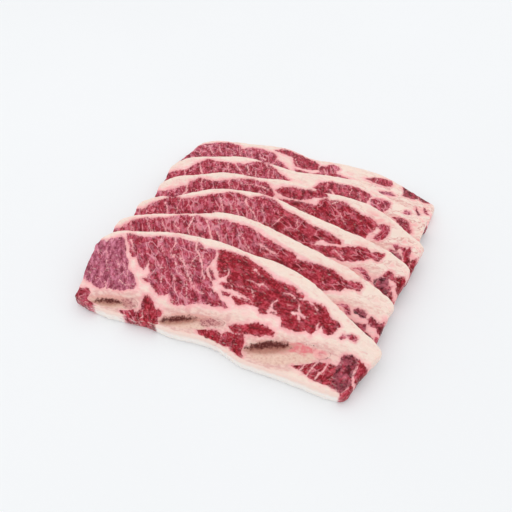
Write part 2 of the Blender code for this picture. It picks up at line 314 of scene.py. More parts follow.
FRONT_SLICE = SlicePlan(
    -1.4, -101.0, -2.5, (-114.5, -117.8), (102.5, 119),
    (46, 58, 65, 72, 76.5, 76, 75, 66.5, 54, 45, 37),
    muscles=(
        Muscle(((-120, 47), (-110, 48.2), (-107, 50), (-103, 52.5), (-99, 55.6), (-96.5, 55.6),
                (-93.5, 51.5), (-91, 47.6), (-88, 42), (-84, 38), (-82, 34.4), (-78, 33),
                (-74, 29), (-70.6, 26), (-69, 23.6), (-69.4, 20.4), (-74, 19.8), (-79, 17.6),
                (-86, 16), (-92, 15.8), (-96, 14), (-101, 14), (-106, 15.6), (-111, 17.4),
                (-120, 18)), -60, 0.04, 0.5),
        Muscle(((-95.4, 59), (-88, 60.2), (-80, 60.6), (-75, 62.2), (-70, 64.4), (-65, 66.2),
                (-60, 67.2), (-56, 68.2), (-50, 68.8), (-45, 69.4), (-40.5, 70.6), (-35, 70),
                (-30, 68.6), (-25, 69.2), (-21.5, 68.8), (-20.6, 62), (-21.8, 57), (-23, 54),
                (-22, 50), (-19, 47.6), (-15.6, 45.6), (-13.4, 42.4), (-10, 39.2), (-5, 36.2),
                (0, 33.8), (3.4, 31.6), (0, 30), (-9, 29), (-15, 28), (-21, 27), (-25.6, 23.4),
                (-30, 22.6), (-34, 21.4), (-38, 22.2), (-41, 24), (-43.4, 26.8), (-45.6, 24.6),
                (-49, 23.4), (-53, 24.2), (-57, 26.2), (-60, 29), (-64, 28.8), (-67.4, 31),
                (-64.6, 33), (-64.6, 37), (-66.4, 41), (-68.4, 45.4), (-69.4, 40), (-70.4, 37),
                (-73.4, 38), (-77, 41), (-79.6, 43.4), (-82.4, 43), (-86.4, 46.6), (-90, 50.6),
                (-93.4, 55)), -47, 0.42, 0.62),
        Muscle(((-20.6, 70), (-10, 71.6), (-2, 71.8), (3, 71.2), (8, 69.6), (15, 67.4), (20, 65.4),
                (27, 62.4), (32, 61), (38, 61.4), (42, 60.4), (46, 59.8), (48, 58), (52, 58.2),
                (54.4, 56.8), (53.6, 54.6), (50, 53.6), (55, 53.2), (62, 53.6), (68, 54),
                (72, 52.8), (75, 50), (78.4, 47.4), (83.4, 45.6), (85.6, 43.4), (83.8, 41.4),
                (84, 39.6), (82.6, 36.8), (79, 34.8), (76, 36), (73, 38.8), (71, 36.6), (68.4, 34),
                (67.4, 31.4), (63.4, 32.6), (60, 30.8), (52, 29.8), (46, 30.8), (44.6, 33),
                (43, 35.8), (38, 37), (34.4, 36.8), (33, 34.8), (28, 34.4), (25.6, 36.8),
                (22, 38.4), (17, 38.4), (12, 36), (8, 35.4), (5.6, 38), (3, 39.8), (6, 41.6),
                (12, 41.8), (20, 41), (12, 43.4), (2, 45.6), (1, 47.6), (-3.4, 49.4), (-7, 52.4),
                (-11, 51.4), (-14, 54.4), (-17.2, 59.4), (-18.8, 64)), -14, 0.9, 0.42),
        Muscle(((-21.4, 54.6), (-18, 54.2), (-14.6, 50), (-12.8, 48), (-15.4, 46.8), (-19, 50.6)),
               -50, 0.5, 0.3),
        Muscle(((-9, 45.8), (-6.6, 48), (-2, 48.8), (1.6, 47), (0.6, 45.2), (-4, 44.6)),
               -10, 0.8, 0.3),
        Muscle(((-6, 41.4), (-2, 42.4), (1.6, 41.4), (1, 38.8), (-3, 39.4)), -20, 0.5, 0.5),
        Muscle(((90.4, 38.6), (95, 41.4), (98.6, 40.6), (99, 37.4), (95, 37)), 20, 0.5, 0.6),
        Muscle(((86.6, 35), (88.6, 38), (91.4, 37.2), (88.8, 34.2)), 20, 0.3, 0.6),
    ),
    seams=(
        Seam(((-106, 42), (-103, 38), (-100.4, 31)), 0.8, 0.4),
        Seam(((-94, 38), (-90.6, 34), (-88.4, 29.6)), 0.7, 0.3),
        Seam(((-94.4, 19.6), (-91.6, 14.6)), 0.7, 0.9),
        Seam(((-84, 24), (-79, 22.2), (-75.6, 22.8)), 1.0, 0.6),
        Seam(((-88, 37.6), (-83.4, 33.6), (-80.6, 30)), 0.8, 0.5),
        Seam(((-91, 55), (-86, 49.6), (-83.4, 47.4)), 1.3, 0.7),
        Seam(((-67.4, 64), (-66, 60), (-62, 55.6), (-58.6, 52.4)), 0.9, 0.6),
        Seam(((-56.4, 67.6), (-54, 61.4), (-55.4, 56.6), (-50.6, 52.6)), 1.3, 0.8),
        Seam(((-56, 56), (-50, 52), (-46.4, 47.4), (-42, 43.4)), 0.9, 0.6),
        Seam(((-52, 55), (-45.6, 53.4), (-40, 50), (-36, 45.4), (-31.6, 42.6)), 0.9, 1.5),
        Seam(((-46.8, 55.8), (-41, 52), (-37.6, 49.4)), 0.7, 0.6),
        Seam(((-39.6, 70), (-37.6, 65.4), (-33, 61.4), (-29.4, 57), (-26, 52.6), (-22.4, 45.6)),
             1.9, 1.2),
        Seam(((-33, 61.6), (-36.6, 55), (-37, 52)), 0.6, 0.5),
        Seam(((-30.4, 62), (-27.4, 57.4)), 0.9, 0.5),
        Seam(((-42.6, 45), (-36, 41), (-33.4, 37.4), (-31.4, 33.4), (-28, 27)), 0.8, 0.8),
        Seam(((-32, 41.4), (-27, 39), (-23, 36), (-18, 35.6)), 1.2, 0.7),
        Seam(((-55, 38), (-53, 33), (-50.6, 29.4)), 0.8, 0.5),
        Seam(((-49, 43), (-43, 38.6), (-41, 33), (-38, 29.6)), 0.7, 0.9),
        Seam(((-62, 44), (-58, 42.4), (-53.6, 44)), 0.6, 0.5),
        Seam(((-20, 66), (-19.4, 61), (-16.8, 56.4), (-12.6, 51), (-11, 46.6), (-9, 41.6),
              (-3, 37.4), (4.4, 34)), 2.3, 3.2),
        Seam(((-8.8, 56.4), (-6, 57.6), (-5.4, 54), (-8.4, 50.6)), 0.9, 1.7),
        Seam(((4, 41.6), (12, 40.8), (20, 39.8)), 1.0, 0.5),
        Seam(((2, 44.6), (9, 44.4), (16, 42.4)), 0.9, 0.4),
        Seam(((12, 64.6), (14.6, 62.6), (17.4, 60.6)), 1.6, 0.7),
        Seam(((4, 48.6), (9, 50), (13, 49.6)), 0.5, 0.4),
        Seam(((10.6, 55.4), (15, 55.8), (20, 54)), 0.6, 0.4),
        Seam(((19.2, 55), (23, 55.2), (26.8, 54)), 1.5, 0.7),
        Seam(((15, 49.6), (17.4, 48), (18, 45.6)), 1.2, 0.6),
        Seam(((36, 47.8), (34, 43.4), (33.8, 37.6)), 1.5, 2.8),
        Seam(((33.6, 40.6), (36, 39.2), (39, 38.4)), 2.4, 1.6),
        Seam(((50.4, 42.4), (55.4, 43.6), (59.6, 42.4)), 2.6, 1.8),
        Seam(((52.4, 50), (54.6, 46.2), (56.8, 39.2)), 1.2, 2.2),
        Seam(((58.8, 53.2), (63, 52.4), (66.8, 50)), 1.9, 0.9),
        Seam(((39, 54.6), (43.6, 55.2), (49.4, 54)), 0.8, 1.4),
        Seam(((70.6, 42), (69.6, 38.4), (70.4, 35)), 0.7, 1.4),
        Seam(((70.4, 14.6), (69.4, 11), (68, 6)), 0.9, 1.0),
        Seam(((77, 15.6), (75.4, 10), (73, 4)), 1.2, 1.2),
        Seam(((84.6, 17), (82.4, 10.6), (79, 4)), 1.3, 0.9),
        Seam(((103.6, 22), (103, 15), (104.4, 9)), 0.8, 1.6),
        Seam(((-57, 9.4), (-55.4, 5.4), (-57.6, 1.4)), 0.5, 0.8),
    ),
)
SECOND_SLICE = SlicePlan(
    3.2, -68.7, 1.4, (-113.5, -117), (109, 118.5),
    (47, 54.5, 61.5, 68, 77, 76, 68.5, 60, 52.5, 45, 38),
    muscles=(
        Muscle(((-120, 41), (-110, 44.4), (-106, 49), (-98, 53.4), (-90, 56), (-84, 57.4),
                (-76, 59.4), (-70, 62), (-65, 65), (-59, 66.4), (-55, 65.6), (-50, 68.8),
                (-45, 68.6), (-40, 68), (-35, 70), (-25, 70.4), (-12, 69.6), (-3, 69), (3, 67.4),
                (8, 64.4), (14, 62.6), (20, 61.4), (25, 59), (10, 44), *HIDDEN_EDGE, (-120, 18)),
               -58, 0.5, 0.75),
        Muscle(((10, 63), (20, 61.4), (27, 58.4), (32, 56.4), (38, 55.6), (38.6, 53.4), (45, 52.4),
                (55, 52.4), (62, 51.4), (70, 50.4), (75, 47.4), (79, 45.4), (84, 46.4), (90, 46),
                (92.6, 43), (91, 39.4), (86, 41), (80, 40), (76, 37), (70, 36), (66, 34.4),
                (62, 33), (50, 31), (38, 36), (20, 38), (5, 35), (-6, 40)), -22, 0.8, 0.6),
        Muscle(((75.9, 26.7), (79.4, 27.6), (84.2, 26.5), (86.9, 24.2), (87.7, 20.8), (84.8, 20.7),
                (81.1, 23.5)), 0, 0.45, 1.0),
        Muscle(((89, 24.7), (92.4, 26.8), (96.2, 26.2), (98.9, 24.4), (98.7, 21.5), (95.9, 20.7),
                (93.2, 22.6), (90.2, 22.6)), 0, 0.7, 0.1, 1.0),
        Muscle(((88.4, 18.4), (93, 17.6), (96.8, 17), (100.3, 17.9), (101.6, 15.3), (100.6, 12.7),
                (104, 11), (107.6, 9), (107, 2), (98, -6), (90, 6)), 0, 0.7, 0.5, 1.0),
        Muscle(((100.2, 21.2), (102.7, 23.6), (106, 21.6), (109.9, 20.5), (113, 24), (120, 25.2),
                (120, 14), (113, 14), (110, 13.4), (107.9, 16.3), (104, 17.3), (101.5, 18.7)),
               40, 0.8, 0.3, 0.6),
        Muscle(((109, 11), (113, 12), (120, 10), (120, -6), (109, -6)), 40, 0.75, 0.6, 0.2),
    ),
    seams=(
        Seam(((-53.4, 66), (-52.6, 60), (-53.6, 55), (-50, 50)), 1.7, 1.2),
        Seam(((-42, 67), (-38, 61), (-33.4, 54.6), (-30, 50)), 1.9, 1.7),
        Seam(((-29.6, 59), (-26.4, 54), (-24, 50)), 1.2, 0.9),
        Seam(((-68, 62), (-66, 56), (-60, 51.6)), 0.7, 1.4),
        Seam(((-92, 55), (-86, 50), (-82, 45)), 0.8, 0.8),
        Seam(((-104, 49), (-99, 45), (-96, 40)), 0.8, 0.8),
        Seam(((-12, 60), (-5, 57), (1, 52)), 0.8, 1.2),
        Seam(((6, 58.6), (14, 55), (24, 52.4)), 1.6, 0.7),
        Seam(((-79, 58), (-74, 52), (-70, 47)), 0.6, 0.9),
    ),
    shift=1.2,
)
THIRD_SLICE = SlicePlan(
    10.9, -36.0, 3.3, (-116.5, -117), (108, 119.5),
    (47, 53.5, 59, 71, 77.5, 76, 66, 58.5, 51.5, 45, 38),
    muscles=(
        Muscle(((-120, 40), (-112, 42), (-106, 47), (-100, 51), (-93, 54.4), (-86, 57),
                (-78, 57.6), (-70, 60), (-63, 62), (-58, 65), (-53, 68.4), (-46, 70.4), (-40, 73),
                (-34, 73.4), (-28, 72), (-23, 71), (-18, 73), (-12, 75.4), (-6, 75.4), (-1, 74),
                (4, 71), (8, 67), (5, 50), *HIDDEN_EDGE, (-120, 18)), -62, 0.55, 0.7),
        Muscle(((0, 72), (8, 67), (15, 64), (22, 62), (28, 59.4), (33, 57), (37, 55.6), (44, 54.4),
                (50, 52), (57, 49.6), (62, 47.6), (61, 45), (53, 44.4), (47, 46.4), (42, 44),
                (42, 41), (50, 41.4), (60, 42.4), (68, 44), (75, 45.4), (82, 46), (86, 43.4),
                (90, 44), (97, 43.4), (96, 40), (92, 36.4), (87, 38), (82, 36), (76, 33.4),
                (70, 32.4), (65, 31), (60, 32), (40, 34), (10, 36), (-8, 40)), -24, 0.78, 0.6),
        Muscle(((74, 26.3), (81.4, 28.8), (84.8, 26.9), (88.6, 22.8), (90.8, 19.4), (87.7, 19.5),
                (84, 22.6), (80.3, 25.9)), 0, 0.45, 1.0),
        Muscle(((91.3, 21.4), (94.8, 23), (97.4, 25.6), (101.5, 24.6), (103.4, 20.4),
                (105.8, 17.9), (104.2, 13), (103, 6), (96, 8), (92.6, 18.3)), 20, 0.6, 0.3, 1.0),
        Muscle(((97.4, 26), (99.3, 28.8), (102, 31), (104.5, 30.2), (107.2, 27.4), (109.9, 24.6),
                (108.8, 22), (106.2, 23.7), (102.2, 24.5)), 70, 0.8, 0.3, 0.3),
        Muscle(((107.4, 27.4), (110.8, 29.2), (115, 27.6), (123, 27), (123, 15), (114, 15),
                (111.4, 15.3), (109.1, 18.3), (109.1, 22)), 70, 1.0, 0.2),
        Muscle(((106, 16.5), (107.9, 15.3), (108, 8), (104.7, 8), (104.4, 13.1)),
               70, 0.9, 0.2, 0.2),
    ),
    seams=(
        Seam(((-26, 70), (-23, 64), (-17, 59), (-12, 53.4), (-9, 50)), 1.5, 1.4),
        Seam(((-47.4, 66), (-44, 59), (-42, 54)), 1.2, 1.2),
        Seam(((-33.6, 64), (-30, 58), (-27, 53)), 1.0, 0.8),
        Seam(((-92.6, 51), (-90, 47), (-88, 42)), 1.5, 1.5),
        Seam(((-81, 57), (-80.4, 51), (-80, 45)), 0.8, 0.8),
        Seam(((-37, 61), (-33, 55)), 0.7, 0.6),
        Seam(((-10, 68), (-9, 62), (-4, 57)), 0.8, 0.6),
        Seam(((10, 60), (6, 55), (2, 51)), 0.8, 0.8),
        Seam(((22, 58), (24.6, 53), (21, 49.6)), 1.0, 0.7),
        Seam(((58, 39), (63, 36), (66, 33)), 1.4, 0.8),
        Seam(((104, 20), (107, 17), (109, 13)), 1.2, 1.6),
    ),
    shift=-0.8,
)
FOURTH_SLICE = SlicePlan(
    16.7, -6.4, 3.0, (-116.5, -117), (109.5, 121),
    (48, 56, 62, 69.5, 70.5, 73.5, 67.5, 64.5, 56, 45.5, 38),
    muscles=(
        Muscle(((-120, 38), (-112, 39.6), (-106, 43), (-100, 45), (-96, 48), (-93, 49),
                (-91.6, 44), (-93, 38), (-100, 30), (-120, 26)), -62, 0.35, 0.7),
        Muscle(((-91, 54), (-87, 55), (-83, 58), (-78, 58.4), (-70, 57.4), (-62, 59.4), (-55, 62),
                (-50, 64.4), (-44, 66), (-36, 67.4), (-28, 67), (-22, 67.4), (-19, 66), (-16, 63),
                (-13, 59), (-11, 57.4), (-14, 50), *HIDDEN_EDGE, (-102, 20), (-95, 32), (-90, 42)),
               -60, 0.5, 0.6),
        Muscle(((-12, 61), (-8, 65), (-3, 67), (5, 67.4), (12, 67.4), (19, 66.4), (22, 66.6),
                (24, 70), (28, 69), (35, 63), (30, 60.6), (23, 61), (20, 58), (12, 56.4), (3, 57),
                (-5, 58.4)), -70, 0.66, 0.45),
        Muscle(((-7, 54.6), (5, 55.6), (15, 54.4), (25, 53), (31, 50), (20, 47), (5, 50)),
               -5, 0.7, 0.5),
        Muscle(((28, 58), (33, 61), (40, 60), (48, 60.4), (53, 58), (58, 56), (62, 54), (66, 51.4),
                (73, 51.4), (78, 48.4), (80, 45.4), (77, 41), (74, 36), (72, 32), (60, 33),
                (40, 36), (20, 38), (5, 35), (-12, 29), (-14, 50), (0, 50), (15, 49), (26, 53)),
               -38, 0.8, 0.6),
        Muscle(((80, 44.4), (85, 47), (90, 46.4), (90.4, 42), (88, 37), (83, 32), (78, 33),
                (80, 37), (84, 41)), 60, 0.6, 0.6),
        Muscle(((93.2, 26.6), (96.6, 27.3), (100.3, 25), (103.6, 21.6), (103, 16), (97, 17),
                (93.6, 22)), 20, 0.6, 0.3, 0.9),
        Muscle(((95.2, 31.3), (99, 33.2), (101, 30), (98.2, 27.5)), 20, 0.5, 1.0),
        Muscle(((101.7, 31.1), (105.8, 30.6), (108.8, 32.2), (110.6, 26.2), (109.9, 18),
                (107.5, 12), (105.3, 16), (104.8, 22), (102.3, 26.8)), 60, 0.75, 0.5),
        Muscle(((111.2, 22.4), (115, 23.4), (123, 23), (123, 8), (112, 8), (110.8, 14.3)),
               60, 0.95, 0.2),
    ),
    seams=(
        Seam(((-55.6, 61.6), (-53.6, 56), (-51, 50)), 1.1, 0.8),
        Seam(((-50, 63.4), (-38, 62), (-28, 62.6), (-18, 60.6)), 0.5, 1.2),
        Seam(((-80, 58), (-79, 52), (-76, 47)), 0.8, 0.8),
        Seam(((-48, 66), (-44, 62)), 0.7, 0.5),
        Seam(((48, 49), (51, 45), (54, 42)), 0.8, 0.6),
        Seam(((44, 60), (38, 55)), 0.8, 0.5),
        Seam(((96, 25), (104, 27)), 0.8, 0.8),
    ),
    shift=0.9,
)
FIFTH_SLICE = SlicePlan(
    14.9, 28.4, 2.6, (-122, -118), (115, 121.5),
    (42, 54.5, 63, 71, 69, 64.5, 67, 66, 52.5, 44, 37),
    muscles=(
        Muscle(((-124, 30), (-118, 32), (-113, 35), (-107, 36), (-103, 38), (-99, 43), (-96, 49),
                (-93, 52), (-89, 57), (-84, 58.4), (-77, 57.4), (-70, 58.4), (-62, 59),
                (-56, 60.4), (-51, 61), (-47, 64), (-41, 67), (-35, 69.4), (-30, 69), (-26, 65),
                (-21, 61), (-15, 56.4), (-9, 52.4), (-4, 50.4), (-8, 44), *HIDDEN_EDGE,
                (-124, 18)), -70, 0.52, 0.6),
        Muscle(((21, 49), (23, 54), (27, 57), (34, 58.4), (42, 58), (50, 58.4), (57, 57.4),
                (63, 55.4), (67, 53), (70.6, 49.4), (69.4, 44), (66, 38), (60, 33), (40, 36),
                (20, 38), (16, 42)), -74, 0.62, 0.5),
        Muscle(((71.6, 46.4), (75, 48), (80, 48.4), (86, 47.4), (89, 45), (88, 40), (84, 32),
                (76, 32), (71, 39)), -62, 0.5, 0.75),
        Muscle(((91.4, 28.6), (95, 30), (101.4, 28.8), (105.4, 25.6), (109.2, 19.8), (106.6, 16),
                (100.4, 20.5), (96, 24.6)), -35, 0.66, 0.5, 0.3),
        Muscle(((100, 37), (102.6, 41.4), (105.6, 40), (106.4, 37), (103, 35)), 60, 0.35, 0.6),
        Muscle(((110, 46), (112.4, 43.4), (114.4, 39), (112, 37), (110.6, 41)), 70, 0.8, 0.1, 0.9),
        Muscle(((117.4, 47), (120, 44), (121, 40), (118, 40)), 70, 0.6, 0.3, 0.5),
    ),
    seams=(
        Seam(((-61, 60.6), (-56, 54.4), (-50.6, 48), (-47, 44)), 1.3, 1.1),
        Seam(((-93.4, 51), (-91, 45), (-86.4, 37)), 0.9, 1.1),
        Seam(((-48.6, 60), (-46, 53), (-43, 46)), 0.8, 0.7),
        Seam(((-104, 38), (-101, 33)), 0.8, 0.7),
        Seam(((-80, 57), (-77, 50), (-75, 44)), 0.8, 0.7),
        Seam(((-67, 58.4), (-65.6, 52), (-62.4, 46)), 0.9, 0.6),
        Seam(((-41, 58), (-38.6, 51), (-36, 46)), 0.9, 0.8),
        Seam(((-31, 67), (-27, 58), (-25, 50)), 0.8, 0.8),
        Seam(((33.4, 48), (36, 45), (38.6, 40)), 1.2, 3.6),
        Seam(((28.6, 57.4), (30, 51)), 0.7, 0.5),
        Seam(((50.6, 57), (52.4, 52), (51.4, 46)), 1.0, 0.8),
        Seam(((61, 51), (60, 45), (62, 41)), 1.0, 0.7),
    ),
    shift=-1.4,
)
REAR_SLICE = SlicePlan(
    17.1, 64.6, -0.3, (-127.5, -117), (117.5, 124),
    (48, 58, 64, 68, 72, 64.5, 66.5, 64.5, 56, 46, 38),
    muscles=(
        Muscle(((-130, 32), (-119, 34), (-117, 43), (-113, 49), (-108, 52), (-102, 56), (-96, 59),
                (-88, 60.4), (-80, 60), (-75, 59), (-72, 56), (-68, 58), (-62, 61), (-55, 62),
                (-47, 61.4), (-40, 60.4), (-35, 57.4), (-33.4, 51), (-30, 49.6), (-25, 47.6),
                (-20.6, 43), (-17, 39), *HIDDEN_EDGE, (-130, 18)), -64, 0.4, 0.7),
        Muscle(((-38.4, 64.4), (-35, 68.4), (-30, 69.6), (-24, 68.4), (-17, 66.4), (-10, 64.8),
                (-4, 62), (4, 61), (9.6, 57), (10, 50), (4, 47.4), (-6, 46.4), (-13, 47),
                (-16, 53), (-21, 60.4), (-31, 61.6)), -72, 0.6, 0.45),
        Muscle(((9.6, 52), (13, 56), (17, 59), (22, 61.4), (28, 60.4), (30, 57.4), (27, 54),
                (28, 50), (33, 48.4), (40, 46.4), (48, 42), (54.4, 38), (48, 33), (30, 33),
                (15, 34), (0, 35), (-11, 38), (-13, 42.6), (-4, 43), (6, 42), (13, 45.4)),
               -68, 0.52, 0.65),
        Muscle(((56, 51.4), (61, 54), (68, 56), (74, 57), (80, 56), (82, 52), (81, 48), (76, 46.4),
                (70, 47), (63, 49.4)), -70, 0.6, 0.4),
        Muscle(((91, 51), (96, 49.6), (101, 47.4), (107, 44.4), (108, 40), (104, 38), (98, 38),
                (93, 39), (93, 45)), -60, 0.75, 0.35, 0.6),
        Muscle(((108, 44), (113, 41.6), (119, 40), (119, 36.6), (113, 35.4), (109, 38)),
               -60, 0.85, 0.2, 0.7),
        Muscle(((70, 36), (76, 39.4), (83, 40), (87, 37), (80, 35.6), (74, 34.6)), 0, 0.2, 0.7),
        Muscle(((106.4, 28), (108.4, 26), (110, 20), (108, 19.6), (106.4, 24)), 70, 0.8, 0.1, 0.9),
        Muscle(((113.4, 29), (117, 26), (118, 22), (115, 22.6)), 70, 0.5, 0.3, 0.4),
        Muscle(((96, 18), (99, 21), (103, 20), (104, 16), (99, 15)), 60, 0.35, 0.6),
    ),
    seams=(
        Seam(((-106, 50), (-102, 44), (-96, 39)), 1.3, 1.5),
        Seam(((-97, 56), (-94, 49), (-91, 44)), 0.9, 0.9),
        Seam(((-74.4, 58.6), (-72.6, 54), (-70.4, 47)), 1.2, 0.9),
        Seam(((-88, 52), (-80, 50), (-76, 46)), 0.7, 0.8),
        Seam(((-52, 53), (-50, 49), (-44, 47)), 1.0, 1.6),
        Seam(((-63, 55), (-60, 52), (-58, 47)), 0.8, 0.8),
        Seam(((-26, 60), (-23, 55), (-18, 52)), 1.0, 0.8),
        Seam(((-16, 58), (-13, 52), (-10, 48)), 0.9, 0.7),
        Seam(((15, 53), (17, 48), (19, 44)), 1.1, 1.1),
        Seam(((22, 56), (24, 50)), 0.8, 0.8),
        Seam(((68, 55), (66, 50)), 0.9, 0.7),
    ),
    shift=0.5,
)
SLICES = (FRONT_SLICE, SECOND_SLICE, THIRD_SLICE,
          FOURTH_SLICE, FIFTH_SLICE, REAR_SLICE)


def smooth_line(along: np.ndarray, stations: Sequence[float],
                heights: Sequence[float]) -> np.ndarray:
    """Heights on a smooth curve through stations.

    Args:
        along: Places along the slice.
        stations: Places at which the curve is given.
        heights: The curve's height at each station.

    Returns:
        The height at every place.
    """
    x = np.asarray(stations, float)
    y = np.asarray(heights, float)
    slopes = np.gradient(y, x)
    a = np.clip(along, x[0], x[-1])
    i = np.clip(np.searchsorted(x, a, side="right") - 1, 0, len(x) - 2)
    span = x[i + 1] - x[i]
    t = (a - x[i]) / span
    ahead = t * t * (3.0 - 2.0 * t)
    rise = y[i] + (y[i + 1] - y[i]) * ahead
    return rise + span * (slopes[i] * t * (1.0 - t) ** 2 - slopes[i + 1] * t * t * (1.0 - t))


def smooth_step(value: np.ndarray, low: float, high: float) -> np.ndarray:
    """Ease from 0 at low to 1 at high."""
    t = np.clip((value - low) / (high - low), 0.0, 1.0)
    return t * t * (3.0 - 2.0 * t)


class ReliefNoise:
    """Smooth seeded noise between -1 and 1 over a plane."""

    def __init__(self, seed: int, size: int = 256) -> None:
        """Draw the lattice of values."""
        self.size = size
        self.values = np.random.default_rng(seed).random((size, size)) * 2.0 - 1.0

    def at(self, x: np.ndarray, y: np.ndarray) -> np.ndarray:
        """Noise at points.

        Args:
            x: Places in lattice steps.
            y: Places in lattice steps.

        Returns:
            The noise at every place.
        """
        x, y = np.broadcast_arrays(np.asarray(x, float), np.asarray(y, float))
        x0, y0 = np.floor(x).astype(int), np.floor(y).astype(int)
        tx, ty = x - x0, y - y0
        tx = tx ** 3 * (tx * (tx * 6 - 15) + 10)
        ty = ty ** 3 * (ty * (ty * 6 - 15) + 10)
        x0, y0 = x0 % self.size, y0 % self.size
        x1, y1 = (x0 + 1) % self.size, (y0 + 1) % self.size
        low = self.values[x0, y0] * (1 - tx) + self.values[x1, y0] * tx
        high = self.values[x0, y1] * (1 - tx) + self.values[x1, y1] * tx
        return low * (1 - ty) + high * ty

    def layered(self, x: np.ndarray, y: np.ndarray, layers: int) -> np.ndarray:
        """Several octaves of the noise added up.

        Args:
            x: Places in steps of the coarsest lattice.
            y: Places in steps of the coarsest lattice.
            layers: How many octaves, each twice as fine and half as strong.

        Returns:
            The sum at every place.
        """
        total = 0.0
        for i in range(layers):
            total = total + self.at(x * 2 ** i + 17.3 * i, y * 2 ** i + 5.1 * i) / 2 ** i
        return total


def off_segment(u: np.ndarray, v: np.ndarray, start: Point,
                end: Point) -> tuple[np.ndarray, np.ndarray, np.ndarray]:
    """Where points lie against a straight segment.

    Args:
        u: Places along the slice.
        v: Places across it.
        start: One end of the segment.
        end: Its other end.

    Returns:
        The share of the way along it that is nearest, and the two offsets from there.
    """
    (x0, y0), (x1, y1) = start, end
    ex, ey = x1 - x0, y1 - y0
    t = np.clip(((u - x0) * ex + (v - y0) * ey) / (ex * ex + ey * ey), 0.0, 1.0)
    return t, u - x0 - t * ex, v - y0 - t * ey


def depth_inside(u: np.ndarray, v: np.ndarray, outline: Sequence[Point]) -> np.ndarray:
    """Signed distance to a closed outline.

    Args:
        u: Places along the slice.
        v: Places across it.
        outline: Corners of the outline, in order.

    Returns:
        The distance at every place, positive inside the outline.
    """
    corners = np.asarray(outline, float)
    nearest = np.full(u.shape, FAR)
    inside = np.zeros(u.shape, bool)
    for start, end in zip(corners, np.roll(corners, -1, axis=0)):
        _, du, dv = off_segment(u, v, start, end)
        nearest = np.minimum(nearest, du ** 2 + dv ** 2)
        (x0, y0), (x1, y1) = start, end
        if y0 != y1:
            crosses = (y0 > v) != (y1 > v)
            inside ^= crosses & (u < x0 + (x1 - x0) * (v - y0) / (y1 - y0))
    return np.where(inside, 1.0, -1.0) * np.sqrt(nearest)


def distance_to_seam(u: np.ndarray, v: np.ndarray, seam: Seam) -> np.ndarray:
    """Distance from the edge of a fat seam.

    Args:
        u: Places along the slice.
        v: Places across it.
        seam: The seam.

    Returns:
        The distance at every place, negative within the seam.
    """
    best = np.full(u.shape, FAR)
    steps = len(seam.path) - 1
    for i, (start, end) in enumerate(zip(seam.path, seam.path[1:])):
        t, du, dv = off_segment(u, v, start, end)
        width = seam.start + (seam.end - seam.start) * (i + t) / steps
        best = np.minimum(best, np.hypot(du, dv) - width / 2)
    return best


@dataclass
class Pile:
    """The draping of the slices over each other.

    Args:
        plans: The slices, from the front to the rear.
    """

    plans: tuple[SlicePlan, ...] = SLICES

    def to_plan(self, number: int, u: np.ndarray, v: np.ndarray) -> tuple[np.ndarray, np.ndarray]:
        """From a slice's frame to the plan of the pile.

        Args:
            number: The slice, from 0 at the front.
            u: Places along the slice.
            v: Places across it.

        Returns:
            The places in the plan.
        """
        one = self.plans[number]
        c, s = one.turned
        return one.x + u * c - v * s, one.y + u * s + v * c

    def beyond_foot(self, number: int, x: np.ndarray, y: np.ndarray) -> np.ndarray:
        """How far points of the plan lie behind a slice's foot.

        Args:
            number: The slice, from 0 at the front.
            x: Places in the plan.
            y: Places in the plan.

        Returns:
            The distance at every place, negative in front of the foot.
        """
        one = self.plans[number]
        c, s = one.turned
        u = (x - one.x) * c + (y - one.y) * s
        v = -(x - one.x) * s + (y - one.y) * c
        return v - smooth_line(u, FOOT_STATIONS, FOOT_HEIGHTS)

    def underside(self, number: int, x: np.ndarray, y: np.ndarray) -> np.ndarray:
        """Height of a slice's lower face over the ground.

        Args:
            number: The slice, from 0 at the front.
            x: Places in the plan.
            y: Places in the plan.

        Returns:
            The height at every place.
        """
        last = len(self.plans)
        gaps = np.stack([self.beyond_foot(k, x, y) for k in range(last)])
        ahead = np.ones(x.shape, int)
        for k in range(1, last):
            ahead = np.where(gaps[k - 1] >= 0.0, k, ahead)
        here = np.take_along_axis(gaps, (ahead - 1)[None], 0)[0]
        beyond = np.take_along_axis(gaps, ahead[None], 0)[0]
        step = np.maximum(here / (here - beyond), 0.0)
        even = ahead + step - LAYER_SWAY * np.sin(2 * math.pi * step) / (2 * math.pi)
        start = 1.0 - LAYER_SWAY
        eased = ahead + start * step + (3 - 2 * start) * step ** 2 + (start - 2) * step ** 3
        level = np.where(ahead == last - 1, eased, even)
        level = np.where(gaps[-1] >= 0.0, float(last), level)
        return np.maximum(LAYER_RISE * (level - number - 1), 0.0)


